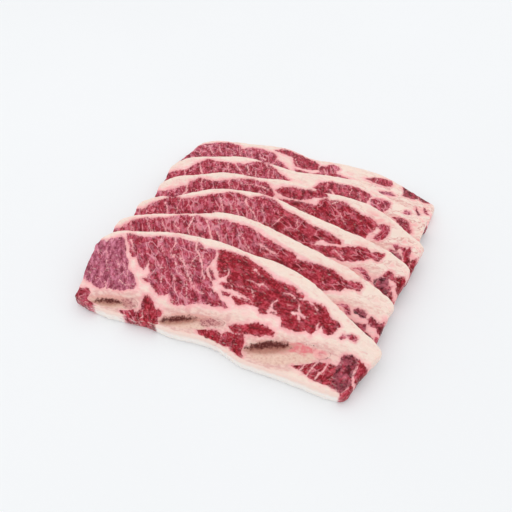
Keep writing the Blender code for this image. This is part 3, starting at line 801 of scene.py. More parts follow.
@dataclass
class FaceDrawing:
    """What the cut face of one slice shows at each point.

    Args:
        number: The slice, from 0 at the front.
        plan: Its place, edges, muscles and seams.
        edge_wander: How far the edges of the meat wander.
        edge_wave: Length of their waves.
        front_growth: How far the front slice's meat between the bones passes its outlines.
        depth_limit: Largest depth that is written.
        creamy_right: Stretch along the slice over which the fat turns creamy.
        creamy_rise: The same across the slice.
        veined_right: Stretch along the slice over which pink veins show in the fat.
        tan_reach: How far from a bone the fat is tan.
        skin_rise: Rise over the foot in which the membrane thins out.
        bare_foot: Where it starts and ends to be bare along the foot.
        bare_end: Where the bare right end starts.
    """

    number: int
    plan: SlicePlan
    edge_wander: float = 0.75
    edge_wave: float = 5.0
    front_growth: float = 0.25
    depth_limit: float = 12.0
    creamy_right: Point = (62.0, 96.0)
    creamy_rise: Point = (20.0, 30.0)
    veined_right: Point = (40.0, 84.0)
    tan_reach: float = 7.0
    skin_rise: Point = (0.8, 3.2)
    bare_foot: tuple[tuple[float, ...], ...] = ((-118, -112, -98, -90), (-72, -66, -45, -39))
    bare_end: Point = (96, 99)

    def foot(self, u: np.ndarray) -> np.ndarray:
        """Height of the foot edge, which spreads forward on the front slice."""
        spread = smooth_line(u, FOOT_STATIONS, FRONT_SPREAD) if self.number == 0 else 0.0
        return smooth_line(u, FOOT_STATIONS, FOOT_HEIGHTS) - spread

    def arch(self, u: np.ndarray) -> np.ndarray:
        """Height of the arched edge."""
        return smooth_line(u, ARCH_STATIONS, self.plan.arch)

    def cap_depth(self, u: np.ndarray) -> np.ndarray:
        """Depth of the fat cap under the arch."""
        return smooth_line(u, ARCH_STATIONS, CAP_DEPTHS)

    def rib(self, side: Side) -> Rib:
        """The rib bone on one side, moved to where this slice has it."""
        return (FRONT_RIBS if self.number == 0 else RIBS)[side].moved(self.plan.shift)

    def meat(self) -> list[tuple[Muscle, float]]:
        """Muscles of the face, each with how far it passes its outline."""
        between, growth = ((FRONT_BETWEEN_BONES, self.front_growth) if self.number == 0
                           else (BETWEEN_BONES, 0.0))
        return [(one, 0.0) for one in self.plan.muscles] + [(one, growth) for one in between]

    def draw(self, u: np.ndarray, v: np.ndarray) -> dict[str, np.ndarray]:
        """Work out the tissue at each point.

        Args:
            u: Places along the slice.
            v: Places across it.

        Returns:
            Depth into the lean, places along and across its fibres, tone, marbling and bruise,
            and how creamy, tan or veined the fat is and how much membrane covers it.
        """
        noise = ReliefNoise(FACE_SEED + self.number)
        du, dv = u / self.edge_wave, v / self.edge_wave
        wu = u + self.edge_wander * noise.layered(du, dv, 3)
        wv = v + self.edge_wander * noise.layered(du + 90.5, dv + 31.7, 3)
        lean = np.full(u.shape, -50.0)
        shown = {"grain": np.zeros(u.shape), "tone": np.full(u.shape, 0.5),
                 "marbling": np.full(u.shape, 0.5), "bruise": np.zeros(u.shape)}
        owner = np.zeros(u.shape)
        for i, (muscle, growth) in enumerate(self.meat()):
            depth = depth_inside(wu, wv, muscle.outline) + growth
            wins = depth > lean
            lean = np.where(wins, depth, lean)
            owner = np.where(wins, i, owner)
            for name, values in shown.items():
                shown[name] = np.where(wins, getattr(muscle, name), values)
        for seam in self.plan.seams:
            lean = np.minimum(lean, distance_to_seam(wu, wv, seam))
        radians = np.radians(shown.pop("grain"))
        return {
            "lean_depth": np.clip(lean, -self.depth_limit, self.depth_limit),
            "along": u * np.cos(radians) + v * np.sin(radians) + 31.0 * owner,
            "across": -u * np.sin(radians) + v * np.cos(radians) + 17.0 * owner,
            **shown,
            "cream": self.fat_warmth(u, v),
            "sinew": self.sinew(u, v),
            "crack": self.cracks(u, v),
            "skin": self.skin_cover(u, v),
        }

    def fat_warmth(self, u: np.ndarray, v: np.ndarray) -> np.ndarray:
        """How creamy the fat is.

        Args:
            u: Places along the slice.
            v: Places across it.

        Returns:
            0 for pink fat to 1 for pale cream.
        """
        cap = smooth_step(v - (self.arch(u) - self.cap_depth(u)), -1.0, 3.0)
        cap = cap * (1 - 0.5 * smooth_step(v - self.arch(u), -2.4, -0.6))
        right = smooth_step(u, *self.creamy_right) * smooth_step(v, *self.creamy_rise)
        near_bone = smooth_step(12.0 - v, 0.0, 9.0)
        return np.clip(0.1 + 0.8 * cap + 0.75 * right + 0.8 * near_bone, 0.0, 1.0)

    def cracks(self, u: np.ndarray, v: np.ndarray) -> np.ndarray:
        """How much pink veins the fat, most at the right end of the rear slices."""
        right = smooth_step(u, *self.veined_right) * (1 - smooth_step(v - self.arch(u), -7.0, -2.0))
        return 0.15 + min(self.number / 3.0, 1.0) * (0.8 * right + 0.1)

    def sinew(self, u: np.ndarray, v: np.ndarray) -> np.ndarray:
        """How much the fat turns to tan sinew, round the bones.

        Args:
            u: Places along the slice.
            v: Places across it.

        Returns:
            0 for fat to 1 for sinew.
        """
        nearest = np.full(u.shape, self.tan_reach)
        for side in Side:
            bone = self.rib(side).bone
            nearest = np.minimum(nearest, (bone.place(u, v)[2] - 1.0) * bone.half_width)
        return 1.0 - smooth_step(nearest, 0.0, self.tan_reach)

    def skin_cover(self, u: np.ndarray, v: np.ndarray) -> np.ndarray:
        """How much white membrane covers the foot edge.

        Args:
            u: Places along the slice.
            v: Places across it.

        Returns:
            0 for none to 1 for a full cover.
        """
        cover = 1.0 - smooth_step(v - self.foot(u), *self.skin_rise)
        bare = smooth_step(u, *self.bare_end)
        for start, full, thin, end in self.bare_foot:
            bare = bare + smooth_step(u, start, full) * (1 - smooth_step(u, thin, end))
        return cover * (1.0 - 0.85 * np.clip(bare, 0.0, 1.0))


@dataclass(frozen=True)
class FaceRelief:
    """Low relief of the cut face in millimetres.

    Args:
        fat: How high the fat stands.
        meat: How much lower the meat lies.
        fibres: Height of the meat's fibres.
        broad: Height of the broad unevenness.
        dimples: Height of the fat's dimples.
        bruise: How much lower dark meat lies.
        bone: How much the bones stand out.
        slit: Depth of the torn marrow slits.
    """

    fat: float = 0.22
    meat: float = 0.42
    fibres: float = 0.13
    broad: float = 0.3
    dimples: float = 0.05
    bruise: float = 0.25
    bone: float = 0.15
    slit: float = 0.6

    def height(self, face: FaceDrawing, noise: ReliefNoise, drawn: dict[str, np.ndarray],
               u: np.ndarray, v: np.ndarray) -> np.ndarray:
        """Height of the cut face over its even level.

        Args:
            face: The face.
            noise: The slice's noise.
            drawn: What the face shows.
            u: Places along the slice.
            v: Places across it.

        Returns:
            The height at every place.
        """
        meat = smooth_step(drawn["lean_depth"], -0.7, 0.7)
        fibres = noise.layered(drawn["along"] / 7.0, drawn["across"] / 1.6, 2)
        broad = noise.layered(u / 26.0 + 7.7, v / 26.0, 2)
        dimples = noise.layered(u / 3.0, v / 3.0, 2)
        height = self.fat - self.meat * meat + self.fibres * fibres * meat + self.broad * broad
        height += (self.dimples * dimples * (1 - meat)
                   - self.bruise * meat * smooth_step(drawn["bruise"], 0.3, 0.9))
        for side in Side:
            rib = face.rib(side)
            height += self.bone * (1 - smooth_step(rib.bone.place(u, v)[2], 0.7, 1.1))
            torn = rib.slit.place(u, v)[2] + 0.4 * noise.layered(u / 1.6, v / 2.4, 2)
            height -= self.slit * (1 - smooth_step(torn, 0.1, 1.1))
        return height


@dataclass
class SliceShell:
    """The closed, draped shell of one slice and the pieces it is cut into.

    Args:
        number: The slice, from 0 at the front.
        pile: The draping of all slices.
        step: Spacing of the shell's points on the faces.
        length: Length that the columns of points are counted on.
        lean_span: Height that the rows of points in the lean are counted on.
        rim: Radius of the rounded edges.
        belly: How far the sawn side bulges.
        corner: Radii at left foot, left arch, right foot and right arch.
        waves: How far the arch, the foot and the two ends wander.
        ragged: How far the points of the side wander.
        under_relief: Share of the upper face's relief that the lower face has.
        rim_turns: Degrees at which the rounded edges have points.
        rim_shares: Heights of the points on the side, as shares of the thickness.
        cap_rows: Rows of points in the fat cap.
        relief: Low relief of the cut face.
    """

    number: int
    pile: Pile
    step: float
    length: float = 240.0
    lean_span: float = 62.0
    rim: float = 1.3
    belly: float = 0.45
    corner: tuple[float, float, float, float] = (2.5, 3.5, 3.0, 5.0)
    waves: tuple[float, float, float] = (0.45, 0.4, 0.6)
    ragged: float = 0.22
    under_relief: float = 0.35
    rim_turns: tuple[float, ...] = (20, 42, 66, 90)
    rim_shares: tuple[float, ...] = (0.72, 0.5, 0.28)
    cap_rows: int = 10
    relief: FaceRelief = FaceRelief()

    def __post_init__(self) -> None:
        """Lay out the points and what they show."""
        self.face = FaceDrawing(self.number, self.pile.plans[self.number])
        self.noise = ReliefNoise(SHELL_SEED + self.number)
        self.columns = round(self.length / self.step)
        self.lean_rows = round(self.lean_span / self.step)
        self.u, self.v = self.face_points()
        self.regions = self.tissue_regions()
        self.raise_points()

    def face_points(self) -> tuple[np.ndarray, np.ndarray]:
        """Points of the cut face in rows that follow the foot, the cap's edge and the arch.

        Returns:
            Their places along and across the slice, row by row from the foot.
        """
        face, plan = self.face, self.face.plan
        s = np.linspace(0.0, 1.0, self.columns + 1)[None, :]
        rows = [0.0]
        for band, count in enumerate((1, self.lean_rows, self.cap_rows)):
            rows += [band + (i + 1) / count for i in range(count)]
        rows = np.array(rows)[:, None]
        t = rows / 3.0
        for _ in range(3):
            left = plan.left[0] + t * (plan.left[1] - plan.left[0]) + self.rim
            right = plan.right[0] + t * (plan.right[1] - plan.right[0]) - self.rim
            u = left + s * (right - left)
            foot, arch = face.foot(u), face.arch(u)
            lines = (foot + self.rim, foot + MEMBRANE_DEPTH,
                     arch - face.cap_depth(u), arch - self.rim)
            v = np.zeros(u.shape)
            for i in range(3):
                share = np.clip(rows - i, 0.0, 1.0)
                v = np.where(rows >= i, lines[i] + (lines[i + 1] - lines[i]) * share, v)
            t = (v - foot) / (arch - foot)
        return self.round_corners(u, v, left, right)

    def wave(self, along: np.ndarray, length: float, row: float, layers: int = 3) -> np.ndarray:
        """Noise along one line, told from other lines by its row."""
        return self.noise.layered(along / length, np.full(along.shape, row), layers)

    def round_corners(self, u: np.ndarray, v: np.ndarray, left: np.ndarray,
                      right: np.ndarray) -> tuple[np.ndarray, np.ndarray]:
        """Draw in the four corners and let the edges wander a little.

        Args:
            u: Places along the slice.
            v: Places across it.
            left: Where each row starts.
            right: Where each row ends.

        Returns:
            The moved places.
        """
        low = self.face.foot(u) + self.rim
        high = self.face.arch(u) - self.rim
        for radius, at_left, at_foot in zip(self.corner, (True, True, False, False),
                                            (True, False, True, False)):
            a = (u - left) if at_left else (right - u)
            b = (v - low) if at_foot else (high - v)
            near = (a < radius) & (b < radius)
            x, y = np.clip(1 - a / radius, 0, 1), np.clip(1 - b / radius, 0, 1)
            a_new = radius * (1 - x * np.sqrt(1 - y * y / 2))
            b_new = radius * (1 - y * np.sqrt(1 - x * x / 2))
            u = np.where(near, left + a_new if at_left else right - a_new, u)
            v = np.where(near, low + b_new if at_foot else high - b_new, v)
        at_arch, at_foot, at_ends = self.waves
        share = np.clip((v - low) / (high - low), 0, 1)
        v = v + at_arch * self.wave(u, 11.0, 3.7) * share ** 6
        v = v + at_foot * self.wave(u, 9.0, 53.1) * (1 - share) ** 6
        side = np.clip((u - left) / (right - left), 0, 1)
        u = u + at_ends * self.wave(v, 9.0, 93.4) * (side ** 24 - (1 - side) ** 24)
        return u, v

    def tissue_regions(self) -> np.ndarray:
        """Sort the quads of the face by piece and draw their borders onto the ovals.

        Returns:
            The region code of every quad.
        """
        um = (self.u[:-1, :-1] + self.u[1:, 1:]) / 2
        vm = (self.v[:-1, :-1] + self.v[1:, 1:]) / 2
        codes = np.full(um.shape, region_code(Tissue.LEAN))
        codes[0, :] = region_code(Tissue.MEMBRANE)
        codes[1 + self.lean_rows:, :] = region_code(Tissue.CAP)
        lean = codes == region_code(Tissue.LEAN)
        for side in Side:
            rib = self.face.rib(side)
            for tissue, oval in ((Tissue.BONE, rib.bone), (Tissue.MARROW, rib.slit)):
                code = region_code(tissue, side)
                codes[(oval.place(um, vm)[2] < 1.0) & lean] = code
                self.snap(codes == code, oval)
        return codes

    def snap(self, inside: np.ndarray, oval: Oval) -> None:
        """Move the points on a patch's border onto its oval.

        Args:
            inside: Which quads the patch has.
            oval: The oval.
        """
        padded = np.pad(inside, 1)
        corners = np.stack([padded[:-1, :-1], padded[:-1, 1:], padded[1:, :-1], padded[1:, 1:]])
        border = corners.any(axis=0) & ~corners.all(axis=0)
        border[:2, :] = False
        u, v = self.u[border], self.v[border]
        radius = oval.place(u, v)[2]
        self.u[border] = oval.u + (u - oval.u) / radius
        self.v[border] = oval.v + (v - oval.v) / radius

    def outward(self, u: np.ndarray, v: np.ndarray) -> tuple[np.ndarray, np.ndarray]:
        """Direction out of the slice at the points of its rim.

        Args:
            u: Places along the slice, in order round the rim.
            v: Places across it.

        Returns:
            Both parts of the direction, smoothed over some neighbours.
        """
        tu, tv = np.roll(u, -1) - np.roll(u, 1), np.roll(v, -1) - np.roll(v, 1)
        for _ in range(4):
            tu = (np.roll(tu, 1) + tu + np.roll(tu, -1)) / 3
            tv = (np.roll(tv, 1) + tv + np.roll(tv, -1)) / 3
        size = np.hypot(tu, tv)
        return tv / size, -tu / size

    def rim_profile(self) -> list[tuple[float, float, float]]:
        """Section of the rim from the upper face to the lower one.

        Returns:
            How far out each point lies, how far under its level, and the level as a share of
            the thickness.
        """
        def edge(turns: Sequence[float], way: float,
                 share: float) -> list[tuple[float, float, float]]:
            """Points of one rounded edge."""
            return [(self.rim * math.sin(a), way * self.rim * (1 - math.cos(a)), share)
                    for a in np.radians(turns)]

        side = [(self.rim + self.belly * (1 - (2 * share - 1) ** 2), 0.0, share)
                for share in self.rim_shares]
        return edge(self.rim_turns, 1, 1.0) + side + edge(self.rim_turns[::-1], -1, 0.0)

    def raise_points(self) -> None:
        """Lift the face into the pile and join it to the underside round the rim."""
        rows, cols = self.u.shape
        grid = np.arange(rows * cols).reshape(rows, cols)
        ring = np.concatenate([grid[0, :], grid[1:, -1], grid[-1, -2::-1], grid[-2:0:-1, 0]])
        u, v = self.u.ravel(), self.v.ravel()
        drawn = self.face.draw(u, v)
        ru, rv = u[ring], v[ring]
        nu, nv = self.outward(ru, rv)
        height = self.relief.height(self.face, self.noise, drawn, u, v)
        profile = self.rim_profile()
        length = np.cumsum(np.hypot(np.diff(ru, prepend=ru[-1]), np.diff(rv, prepend=rv[-1])))
        low = self.pile.underside(self.number, *self.pile.to_plan(self.number, u, v))
        us, vs = [u, u], [v, v]
        zs = [low + THICKNESS + height, np.maximum(low - self.under_relief * height - 0.05, 0.0)]
        ws = [np.full(u.shape, THICKNESS), np.zeros(u.shape)]
        for out, drop, share in profile:
            push = out + self.ragged * self.wave(length, 3.2, share * 4.0, 2)
            qu, qv = ru + nu * push, rv + nv * push
            low = self.pile.underside(self.number, *self.pile.to_plan(self.number, qu, qv))
            z = low + THICKNESS * share - drop + height[ring] * share
            us.append(qu)
            vs.append(qv)
            ws.append(np.full(ring.shape, THICKNESS * share - drop))
            zs.append(np.maximum(z, 0.0))
        self.grid, self.ring, self.rim_rows = grid, ring, len(profile)
        self.points_u, self.points_v = np.concatenate(us), np.concatenate(vs)
        x, y = self.pile.to_plan(self.number, self.points_u, self.points_v)
        self.points = np.stack([x - PLAN_ORIGIN[0], y - PLAN_ORIGIN[1],
                                np.concatenate(zs)], axis=1) * MM
        depth = np.concatenate(ws)
        source = np.concatenate([np.arange(len(u))] * 2 + [ring] * self.rim_rows)
        shift_u, shift_v = self.points_u - u[source], self.points_v - v[source]
        self.attributes = {name: values[source] for name, values in drawn.items()}
        self.attributes["place"] = np.stack([self.points_u, self.points_v, depth], axis=1)
        self.attributes["grain"] = np.stack([self.attributes.pop("along") + shift_u,
                                             self.attributes.pop("across") + shift_v,
                                             depth], axis=1)

    def columns_of(self, place: int) -> list[int]:
        """Rim points under one point of the ring.

        Args:
            place: The point's place in the ring.

        Returns:
            The points' numbers, from top to bottom.
        """
        count = len(self.ring)
        base = 2 * self.grid.size
        top = int(self.ring[place])
        column = [base + row * count + place for row in range(self.rim_rows)]
        return [top] + column + [top + self.grid.size]

    def piece_faces(self, code: int) -> list[tuple[int, ...]]:
        """Faces of the closed piece that one tissue region makes.

        Args:
            code: The region's code.

        Returns:
            The corners of every face.
        """
        grid, lift = self.grid, self.grid.size
        chosen = self.regions == code
        quads = np.stack([grid[:-1, :-1], grid[:-1, 1:], grid[1:, 1:], grid[1:, :-1]], axis=-1)
        quads = quads[chosen]
        faces = [tuple(q) for q in quads.tolist()]
        faces += [tuple(q) for q in (quads[:, ::-1] + lift).tolist()]
        starts, ends = quads.ravel(), np.roll(quads, -1, axis=1).ravel()
        total = lift + 1
        forward, backward = starts * total + ends, ends * total + starts
        border = ~np.isin(forward, backward)
        ring_place = {int(point): i for i, point in enumerate(self.ring)}
        for a, b in zip(starts[border].tolist(), ends[border].tolist()):
            pa, pb = ring_place.get(a), ring_place.get(b)
            if pa is not None and pb is not None and (pb - pa) % len(self.ring) == 1:
                left, right = self.columns_of(pa), self.columns_of(pb)
                faces += [(left[j], left[j + 1], right[j + 1], right[j])
                          for j in range(len(left) - 1)]
                continue
            down = self.columns_of(pa) if pa is not None else [a, a + lift]
            up = self.columns_of(pb)[::-1] if pb is not None else [b + lift, b]
            faces.append(tuple(down + up))
        return faces

    def piece(self, code: int, name: str) -> bpy.types.Object:
        """Mesh object of one piece with what its faces show as attributes.

        Args:
            code: The piece's tissue region.
            name: The object's name.

        Returns:
            The new object.
        """
        faces = self.piece_faces(code)
        used = np.unique(np.concatenate([np.array(f) for f in faces]))
        renumber = {int(old): new for new, old in enumerate(used)}
        mesh = bpy.data.meshes.new(name)
        mesh.from_pydata(self.points[used].tolist(), [],
                         [tuple(renumber[i] for i in f) for f in faces])
        for label, values in self.attributes.items():
            flat = values.ndim == 1
            layer = mesh.attributes.new(label, "FLOAT" if flat else "FLOAT_VECTOR", "POINT")
            layer.data.foreach_set("value" if flat else "vector",
                                   values[used].astype(np.float32).ravel())
        mesh.shade_smooth()
        mesh.set_sharp_from_angle(angle=SHARP_EDGE)
        return placed(name, mesh)


def placed(name: str, data: bpy.types.ID) -> bpy.types.Object:
    """Put data into the scene as a new object.

    Args:
        name: The object's name.
        data: Its mesh, light or camera.

    Returns:
        The new object.
    """
    thing = bpy.data.objects.new(name, data)
    bpy.context.scene.collection.objects.link(thing)
    return thing


class Swatch(Enum):
    """Colours of the meat and the studio, in display values from 0 to 255."""

    MAUVE_DARK = (128, 42, 64)
    ROSE_DARK = (116, 16, 34)
    CRIMSON_DARK = (106, 2, 13)
    MAUVE = (170, 82, 106)
    ROSE = (164, 42, 62)
    CRIMSON = (148, 12, 32)
    MAUVE_PALE = (208, 126, 150)
    ROSE_PALE = (206, 94, 114)
    CRIMSON_PALE = (192, 58, 74)
    BRUISE_DARK = (68, 8, 20)
    BRUISE_PALE = (150, 70, 84)
    MAUVE_STREAK = (222, 136, 156)
    CRIMSON_STREAK = (210, 92, 108)
    MAUVE_VEIN = (240, 164, 176)
    CRIMSON_VEIN = (236, 142, 154)
    FAT_PINK = (250, 194, 194)
    FAT_CREAM = (243, 222, 209)
    # Pale tint of the painted highlight flecks on the fat
    FAT_PAINTED_HIGHLIGHT = (253, 230, 221)
    FAT_ROSY = (234, 162, 162)
    FAT_STAIN = (244, 172, 172)
    FAT_CRACK = (208, 118, 120)
    FAT_THIN = (240, 160, 166)
    SINEW = (216, 156, 152)
    SINEW_PALE = (236, 194, 184)
    BONE = (230, 194, 178)
    BONE_ROSY = (224, 164, 156)
    BONE_PALE = (244, 212, 198)
    BONE_DULL = (204, 140, 130)
    BONE_BLUSH = (226, 118, 126)
    KNOB = (146, 72, 80)
    KNOB_PALE = (206, 144, 142)
    KNOB_BLUSH = (212, 88, 106)
    KNOB_FAT = (242, 178, 174)
    KNOB_RING = (158, 72, 78)
    SLIT_STAIN = (180, 120, 104)
    CORE_BROWN = (150, 88, 76)
    CORE_DARK = (84, 16, 14)
    CORE_PINK = (164, 94, 86)
    SKIN_WHITE = (246, 240, 235)
    SKIN_PEACH = (242, 214, 204)
    FLOOR = (240, 242, 244)
    FLOOR_PALE = (243, 245, 247)

    @property
    def linear(self) -> tuple[float, float, float, float]:
        """The colour as the shaders take it."""
        shares = [value / 255.0 for value in self.value]
        return (*(c / 12.92 if c <= 0.04045 else ((c + 0.055) / 1.055) ** 2.4
                  for c in shares), 1.0)


class NodeBench:
    """Adds nodes to one tree and joins them."""

    def __init__(self, tree: bpy.types.NodeTree) -> None:
        """Take the tree to work on."""
        self.tree = tree

    def feed(self, socket: bpy.types.NodeSocket, value: object) -> None:
        """Link a socket, or set it to a swatch or a plain value.

        Args:
            socket: The input to feed.
            value: Another node's output, a swatch, or a value.
        """
        if isinstance(value, bpy.types.NodeSocket):
            self.tree.links.new(value, socket)
        else:
            socket.default_value = value.linear if isinstance(value, Swatch) else value

    def add(self, kind: str, **settings: object) -> bpy.types.Node:
        """Make a node.

        Args:
            kind: Its type.
            settings: Its properties.

        Returns:
            The new node.
        """
        node = self.tree.nodes.new(kind)
        for name, value in settings.items():
            setattr(node, name, value)
        return node

    def result(self, kind: str, output: int | str, values: dict[int | str, object],
               **settings: object) -> bpy.types.NodeSocket:
        """Output of a new node whose inputs are fed.

        Args:
            kind: The node's type.
            output: Which of its outputs.
            values: What feeds each input.
            settings: The node's properties.

        Returns:
            The output.
        """
        node = self.add(kind, **settings)
        for place, value in values.items():
            self.feed(node.inputs[place], value)
        return node.outputs[output]

    def math(self, operation: str, *values: object, clamp: bool = False) -> bpy.types.NodeSocket:
        """Result of a math node."""
        return self.result("ShaderNodeMath", 0, dict(enumerate(values)),
                           operation=operation, use_clamp=clamp)

    def times(self, first: object, second: object) -> bpy.types.NodeSocket:
        """Product of two values."""
        return self.math("MULTIPLY", first, second)

    def shaken(self, value: object, noise: object, by: float,
               clamp: bool = False) -> bpy.types.NodeSocket:
        """Value moved up and down by a noise, as far in all as by says."""
        return self.math("MULTIPLY_ADD", self.math("SUBTRACT", noise, 0.5), by, value, clamp=clamp)

    def ease(self, value: object, low: float, high: float, start: float = 0.0,
             end: float = 1.0) -> bpy.types.NodeSocket:
        """Smooth step of a value, from start at low to end at high."""
        return self.result("ShaderNodeMapRange", 0, dict(enumerate((value, low, high, start, end))),
                           interpolation_type="SMOOTHSTEP")

    def blend(self, share: object, first: object, second: object) -> bpy.types.NodeSocket:
        """Colour between two colours."""
        return self.result("ShaderNodeMix", 2, {0: share, 6: first, 7: second},
                           data_type="RGBA", clamp_factor=True)

    def vector(self, operation: str, first: object, second: object) -> bpy.types.NodeSocket:
        """Result of a vector math node."""
        return self.result("ShaderNodeVectorMath", 0, {0: first, 1: second}, operation=operation)

    def sway(self, vector: object, by: float, scale: float) -> bpy.types.NodeSocket:
        """Vector moved about by a colour noise.

        Args:
            vector: The vector.
            by: How far it moves.
            scale: Scale of the noise.

        Returns:
            The moved vector.
        """
        noise = self.result("ShaderNodeTexNoise", "Color",
                            {"Vector": vector, "Scale": scale, "Detail": 2.0})
        centred = self.vector("SUBTRACT", noise, (0.5, 0.5, 0.5))
        return self.vector("ADD", vector, self.vector("MULTIPLY", centred, (by, by, by)))

    def noise(self, vector: object, scale: float, detail: float = 2.0,
              roughness: float = 0.5) -> bpy.types.NodeSocket:
        """Value of a noise texture."""
        return self.result("ShaderNodeTexNoise", "Fac", {
            "Vector": vector, "Scale": scale, "Detail": detail, "Roughness": roughness})

    def drawn_out(self, vector: object, stretch: tuple[float, float, float], detail: float = 3.0,
                  roughness: float = 0.5, sway: Point | None = None) -> bpy.types.NodeSocket:
        """Noise with waves of another length on each axis, over a place that may sway first."""
        place = self.vector("MULTIPLY", vector, stretch)
        return self.noise(self.sway(place, *sway) if sway else place, 1.0, detail, roughness)

    def cell_edge(self, vector: object, scale: float) -> bpy.types.NodeSocket:
        """Distance to the edges between cells."""
        return self.result("ShaderNodeTexVoronoi", "Distance", {"Vector": vector, "Scale": scale},
                           feature="DISTANCE_TO_EDGE")

    def read(self, name: str, output: str = "Fac") -> bpy.types.NodeSocket:
        """Attribute of the mesh."""
        return self.add("ShaderNodeAttribute", attribute_name=name).outputs[output]

    def readings(self, *names: str) -> dict[str, bpy.types.NodeSocket]:
        """Attributes of the mesh under the names of a group's inputs."""
        return {name.title(): self.read(name) for name in names}

    def group(self, tree: bpy.types.NodeTree, **values: object) -> bpy.types.Node:
        """Node of a group with its inputs fed.

        Args:
            tree: The group.
            values: What feeds each input, an underscore standing for a space.

        Returns:
            The new node.
        """
        node = self.add("ShaderNodeGroup")
        node.node_tree = tree
        for name, value in values.items():
            self.feed(node.inputs[name.replace("_", " ")], value)
        return node


class Effect:
    """A shader node group that several materials share."""

    def __init__(self, name: str, inputs: dict[str, str], outputs: dict[str, str]) -> None:
        """Make the group and its sockets.

        Args:
            name: The group's name.
            inputs: Kind of socket by label: Float, Vector or Color.
            outputs: The same for what it puts out.
        """
        self.tree = bpy.data.node_groups.new(name, "ShaderNodeTree")
        for way, sockets in (("INPUT", inputs), ("OUTPUT", outputs)):
            for label, kind in sockets.items():
                self.tree.interface.new_socket(label, in_out=way,
                                               socket_type=f"NodeSocket{kind}")
        self.bench = NodeBench(self.tree)
        self.given = self.bench.add("NodeGroupInput").outputs
        self.sockets = self.bench.add("NodeGroupOutput").inputs

    def put(self, **values: object) -> bpy.types.NodeTree:
        """Feed the group's outputs.

        Args:
            values: What feeds each output.

        Returns:
            The finished group.
        """
        for name, value in values.items():
            self.bench.feed(self.sockets[name], value)
        return self.tree


def marbling_effect() -> bpy.types.NodeTree:
    """Veins and flecks of fat through lean meat, and the edge between lean and fat.

    Returns:
        The group.
    """
    effect = Effect("Marbling", {"Grain": "Vector", "Place": "Vector", "Lean Depth": "Float",
                                 "Marbling": "Float"},
                    {"Fat": "Float", "Vein": "Float", "Streak": "Float", "Height": "Float"})
    b, (grain, place, inside, marbling) = effect.bench, list(effect.given)[:4]
    swayed = b.sway(b.vector("MULTIPLY", grain, (0.085, 0.19, 0.05)), 0.9, 1.1)
    gate = b.ease(b.drawn_out(place, (0.13, 0.13, 0.05), 2.0), 0.42, 0.62)
    reach = b.math("MULTIPLY_ADD", b.times(gate, b.ease(marbling, 0.35, 0.9)), 0.2, 0.001)
    web = b.math("SUBTRACT", 1.0, b.math("DIVIDE", b.cell_edge(swayed, 1.0), reach), clamp=True)
    line = b.drawn_out(grain, (0.1, 0.3, 0.1), 3.0, 0.55, (0.8, 0.8))
    ridge = b.ease(b.math("ABSOLUTE", b.math("SUBTRACT", line, 0.5)), 0.0, 0.03, 1.0, 0.0)
    patch = b.drawn_out(place, (0.3, 0.3, 0.1), 2.0)
    ridge = b.times(ridge, b.ease(patch, 0.52, 0.7, 0.0, 0.7))
    fleck = b.ease(b.drawn_out(grain, (0.14, 0.22, 0.2), 4.0, 0.58, (0.9, 1.1)), 0.51, 0.65)
    streak = b.times(b.math("MAXIMUM", ridge, fleck),
                     b.math("MULTIPLY_ADD", marbling, 0.85, 0.15))
    near = b.ease(inside, 0.0, 2.4, 1.0, 0.0)
    fringe = b.times(near, b.ease(b.noise(grain, 0.7), 0.48, 0.62))
    vein = b.math("MAXIMUM", b.ease(web, 0.0, 0.85), b.times(fringe, 0.7))
    fat = b.ease(b.shaken(inside, b.noise(place, 0.55, 3.0), 2.6), -0.7, 0.45, 1.0, 0.0)
    height = b.math("MULTIPLY_ADD", fat, 0.35, b.times(b.math("ADD", vein, streak), 0.2))
    return effect.put(Fat=fat, Vein=vein, Streak=streak, Height=height)


def lean_effect() -> bpy.types.NodeTree:
    """Colour and fibre of raw lean meat, and the paler colours of its streaks and veins.

    Returns:
        The group.
    """
    effect = Effect("Lean meat", {"Grain": "Vector", "Place": "Vector", "Tone": "Float",
                                  "Bruise": "Float"},
                    {"Color": "Color", "Streak": "Color", "Vein": "Color", "Height": "Float"})
    b, (grain, place, tone, bruise) = effect.bench, list(effect.given)[:4]
    coarse = b.drawn_out(grain, (0.11, 0.26, 0.1), 3.0, 0.6, (0.7, 0.9))
    fine = b.drawn_out(grain, (0.36, 0.6, 0.4), 2.5, 0.5, (0.8, 0.8))
    grit = b.noise(place, 0.6)
    mottle = b.drawn_out(place, (0.16, 0.2, 0.1), 3.0, 0.55)
    tone = b.shaken(tone, mottle, 1.2, clamp=True)
    mixed = b.math("MULTIPLY_ADD", coarse, 0.5, b.times(fine, 0.27))
    mixed = b.math("MULTIPLY_ADD", grit, 0.23, mixed)
    early, late = b.ease(tone, 0.0, 0.5), b.ease(tone, 0.45, 1.0)
    shades = ((Swatch.MAUVE_DARK, Swatch.ROSE_DARK, Swatch.CRIMSON_DARK),
              (Swatch.MAUVE, Swatch.ROSE, Swatch.CRIMSON),
              (Swatch.MAUVE_PALE, Swatch.ROSE_PALE, Swatch.CRIMSON_PALE))
    dark, middle, pale = (b.blend(late, b.blend(early, mauve, rose), crimson)
                          for mauve, rose, crimson in shades)
    colour = b.blend(b.ease(mixed, 0.42, 0.51), dark, middle)
    colour = b.blend(b.ease(mixed, 0.51, 0.6), colour, pale)
    bruised = b.blend(b.ease(mixed, 0.43, 0.57), Swatch.BRUISE_DARK, Swatch.BRUISE_PALE)
    colour = b.blend(b.times(bruise, b.ease(mottle, 0.36, 0.56)), colour, bruised)
    return effect.put(Color=colour, Height=mixed,
                      Streak=b.blend(late, Swatch.MAUVE_STREAK, Swatch.CRIMSON_STREAK),
                      Vein=b.blend(late, Swatch.MAUVE_VEIN, Swatch.CRIMSON_VEIN))


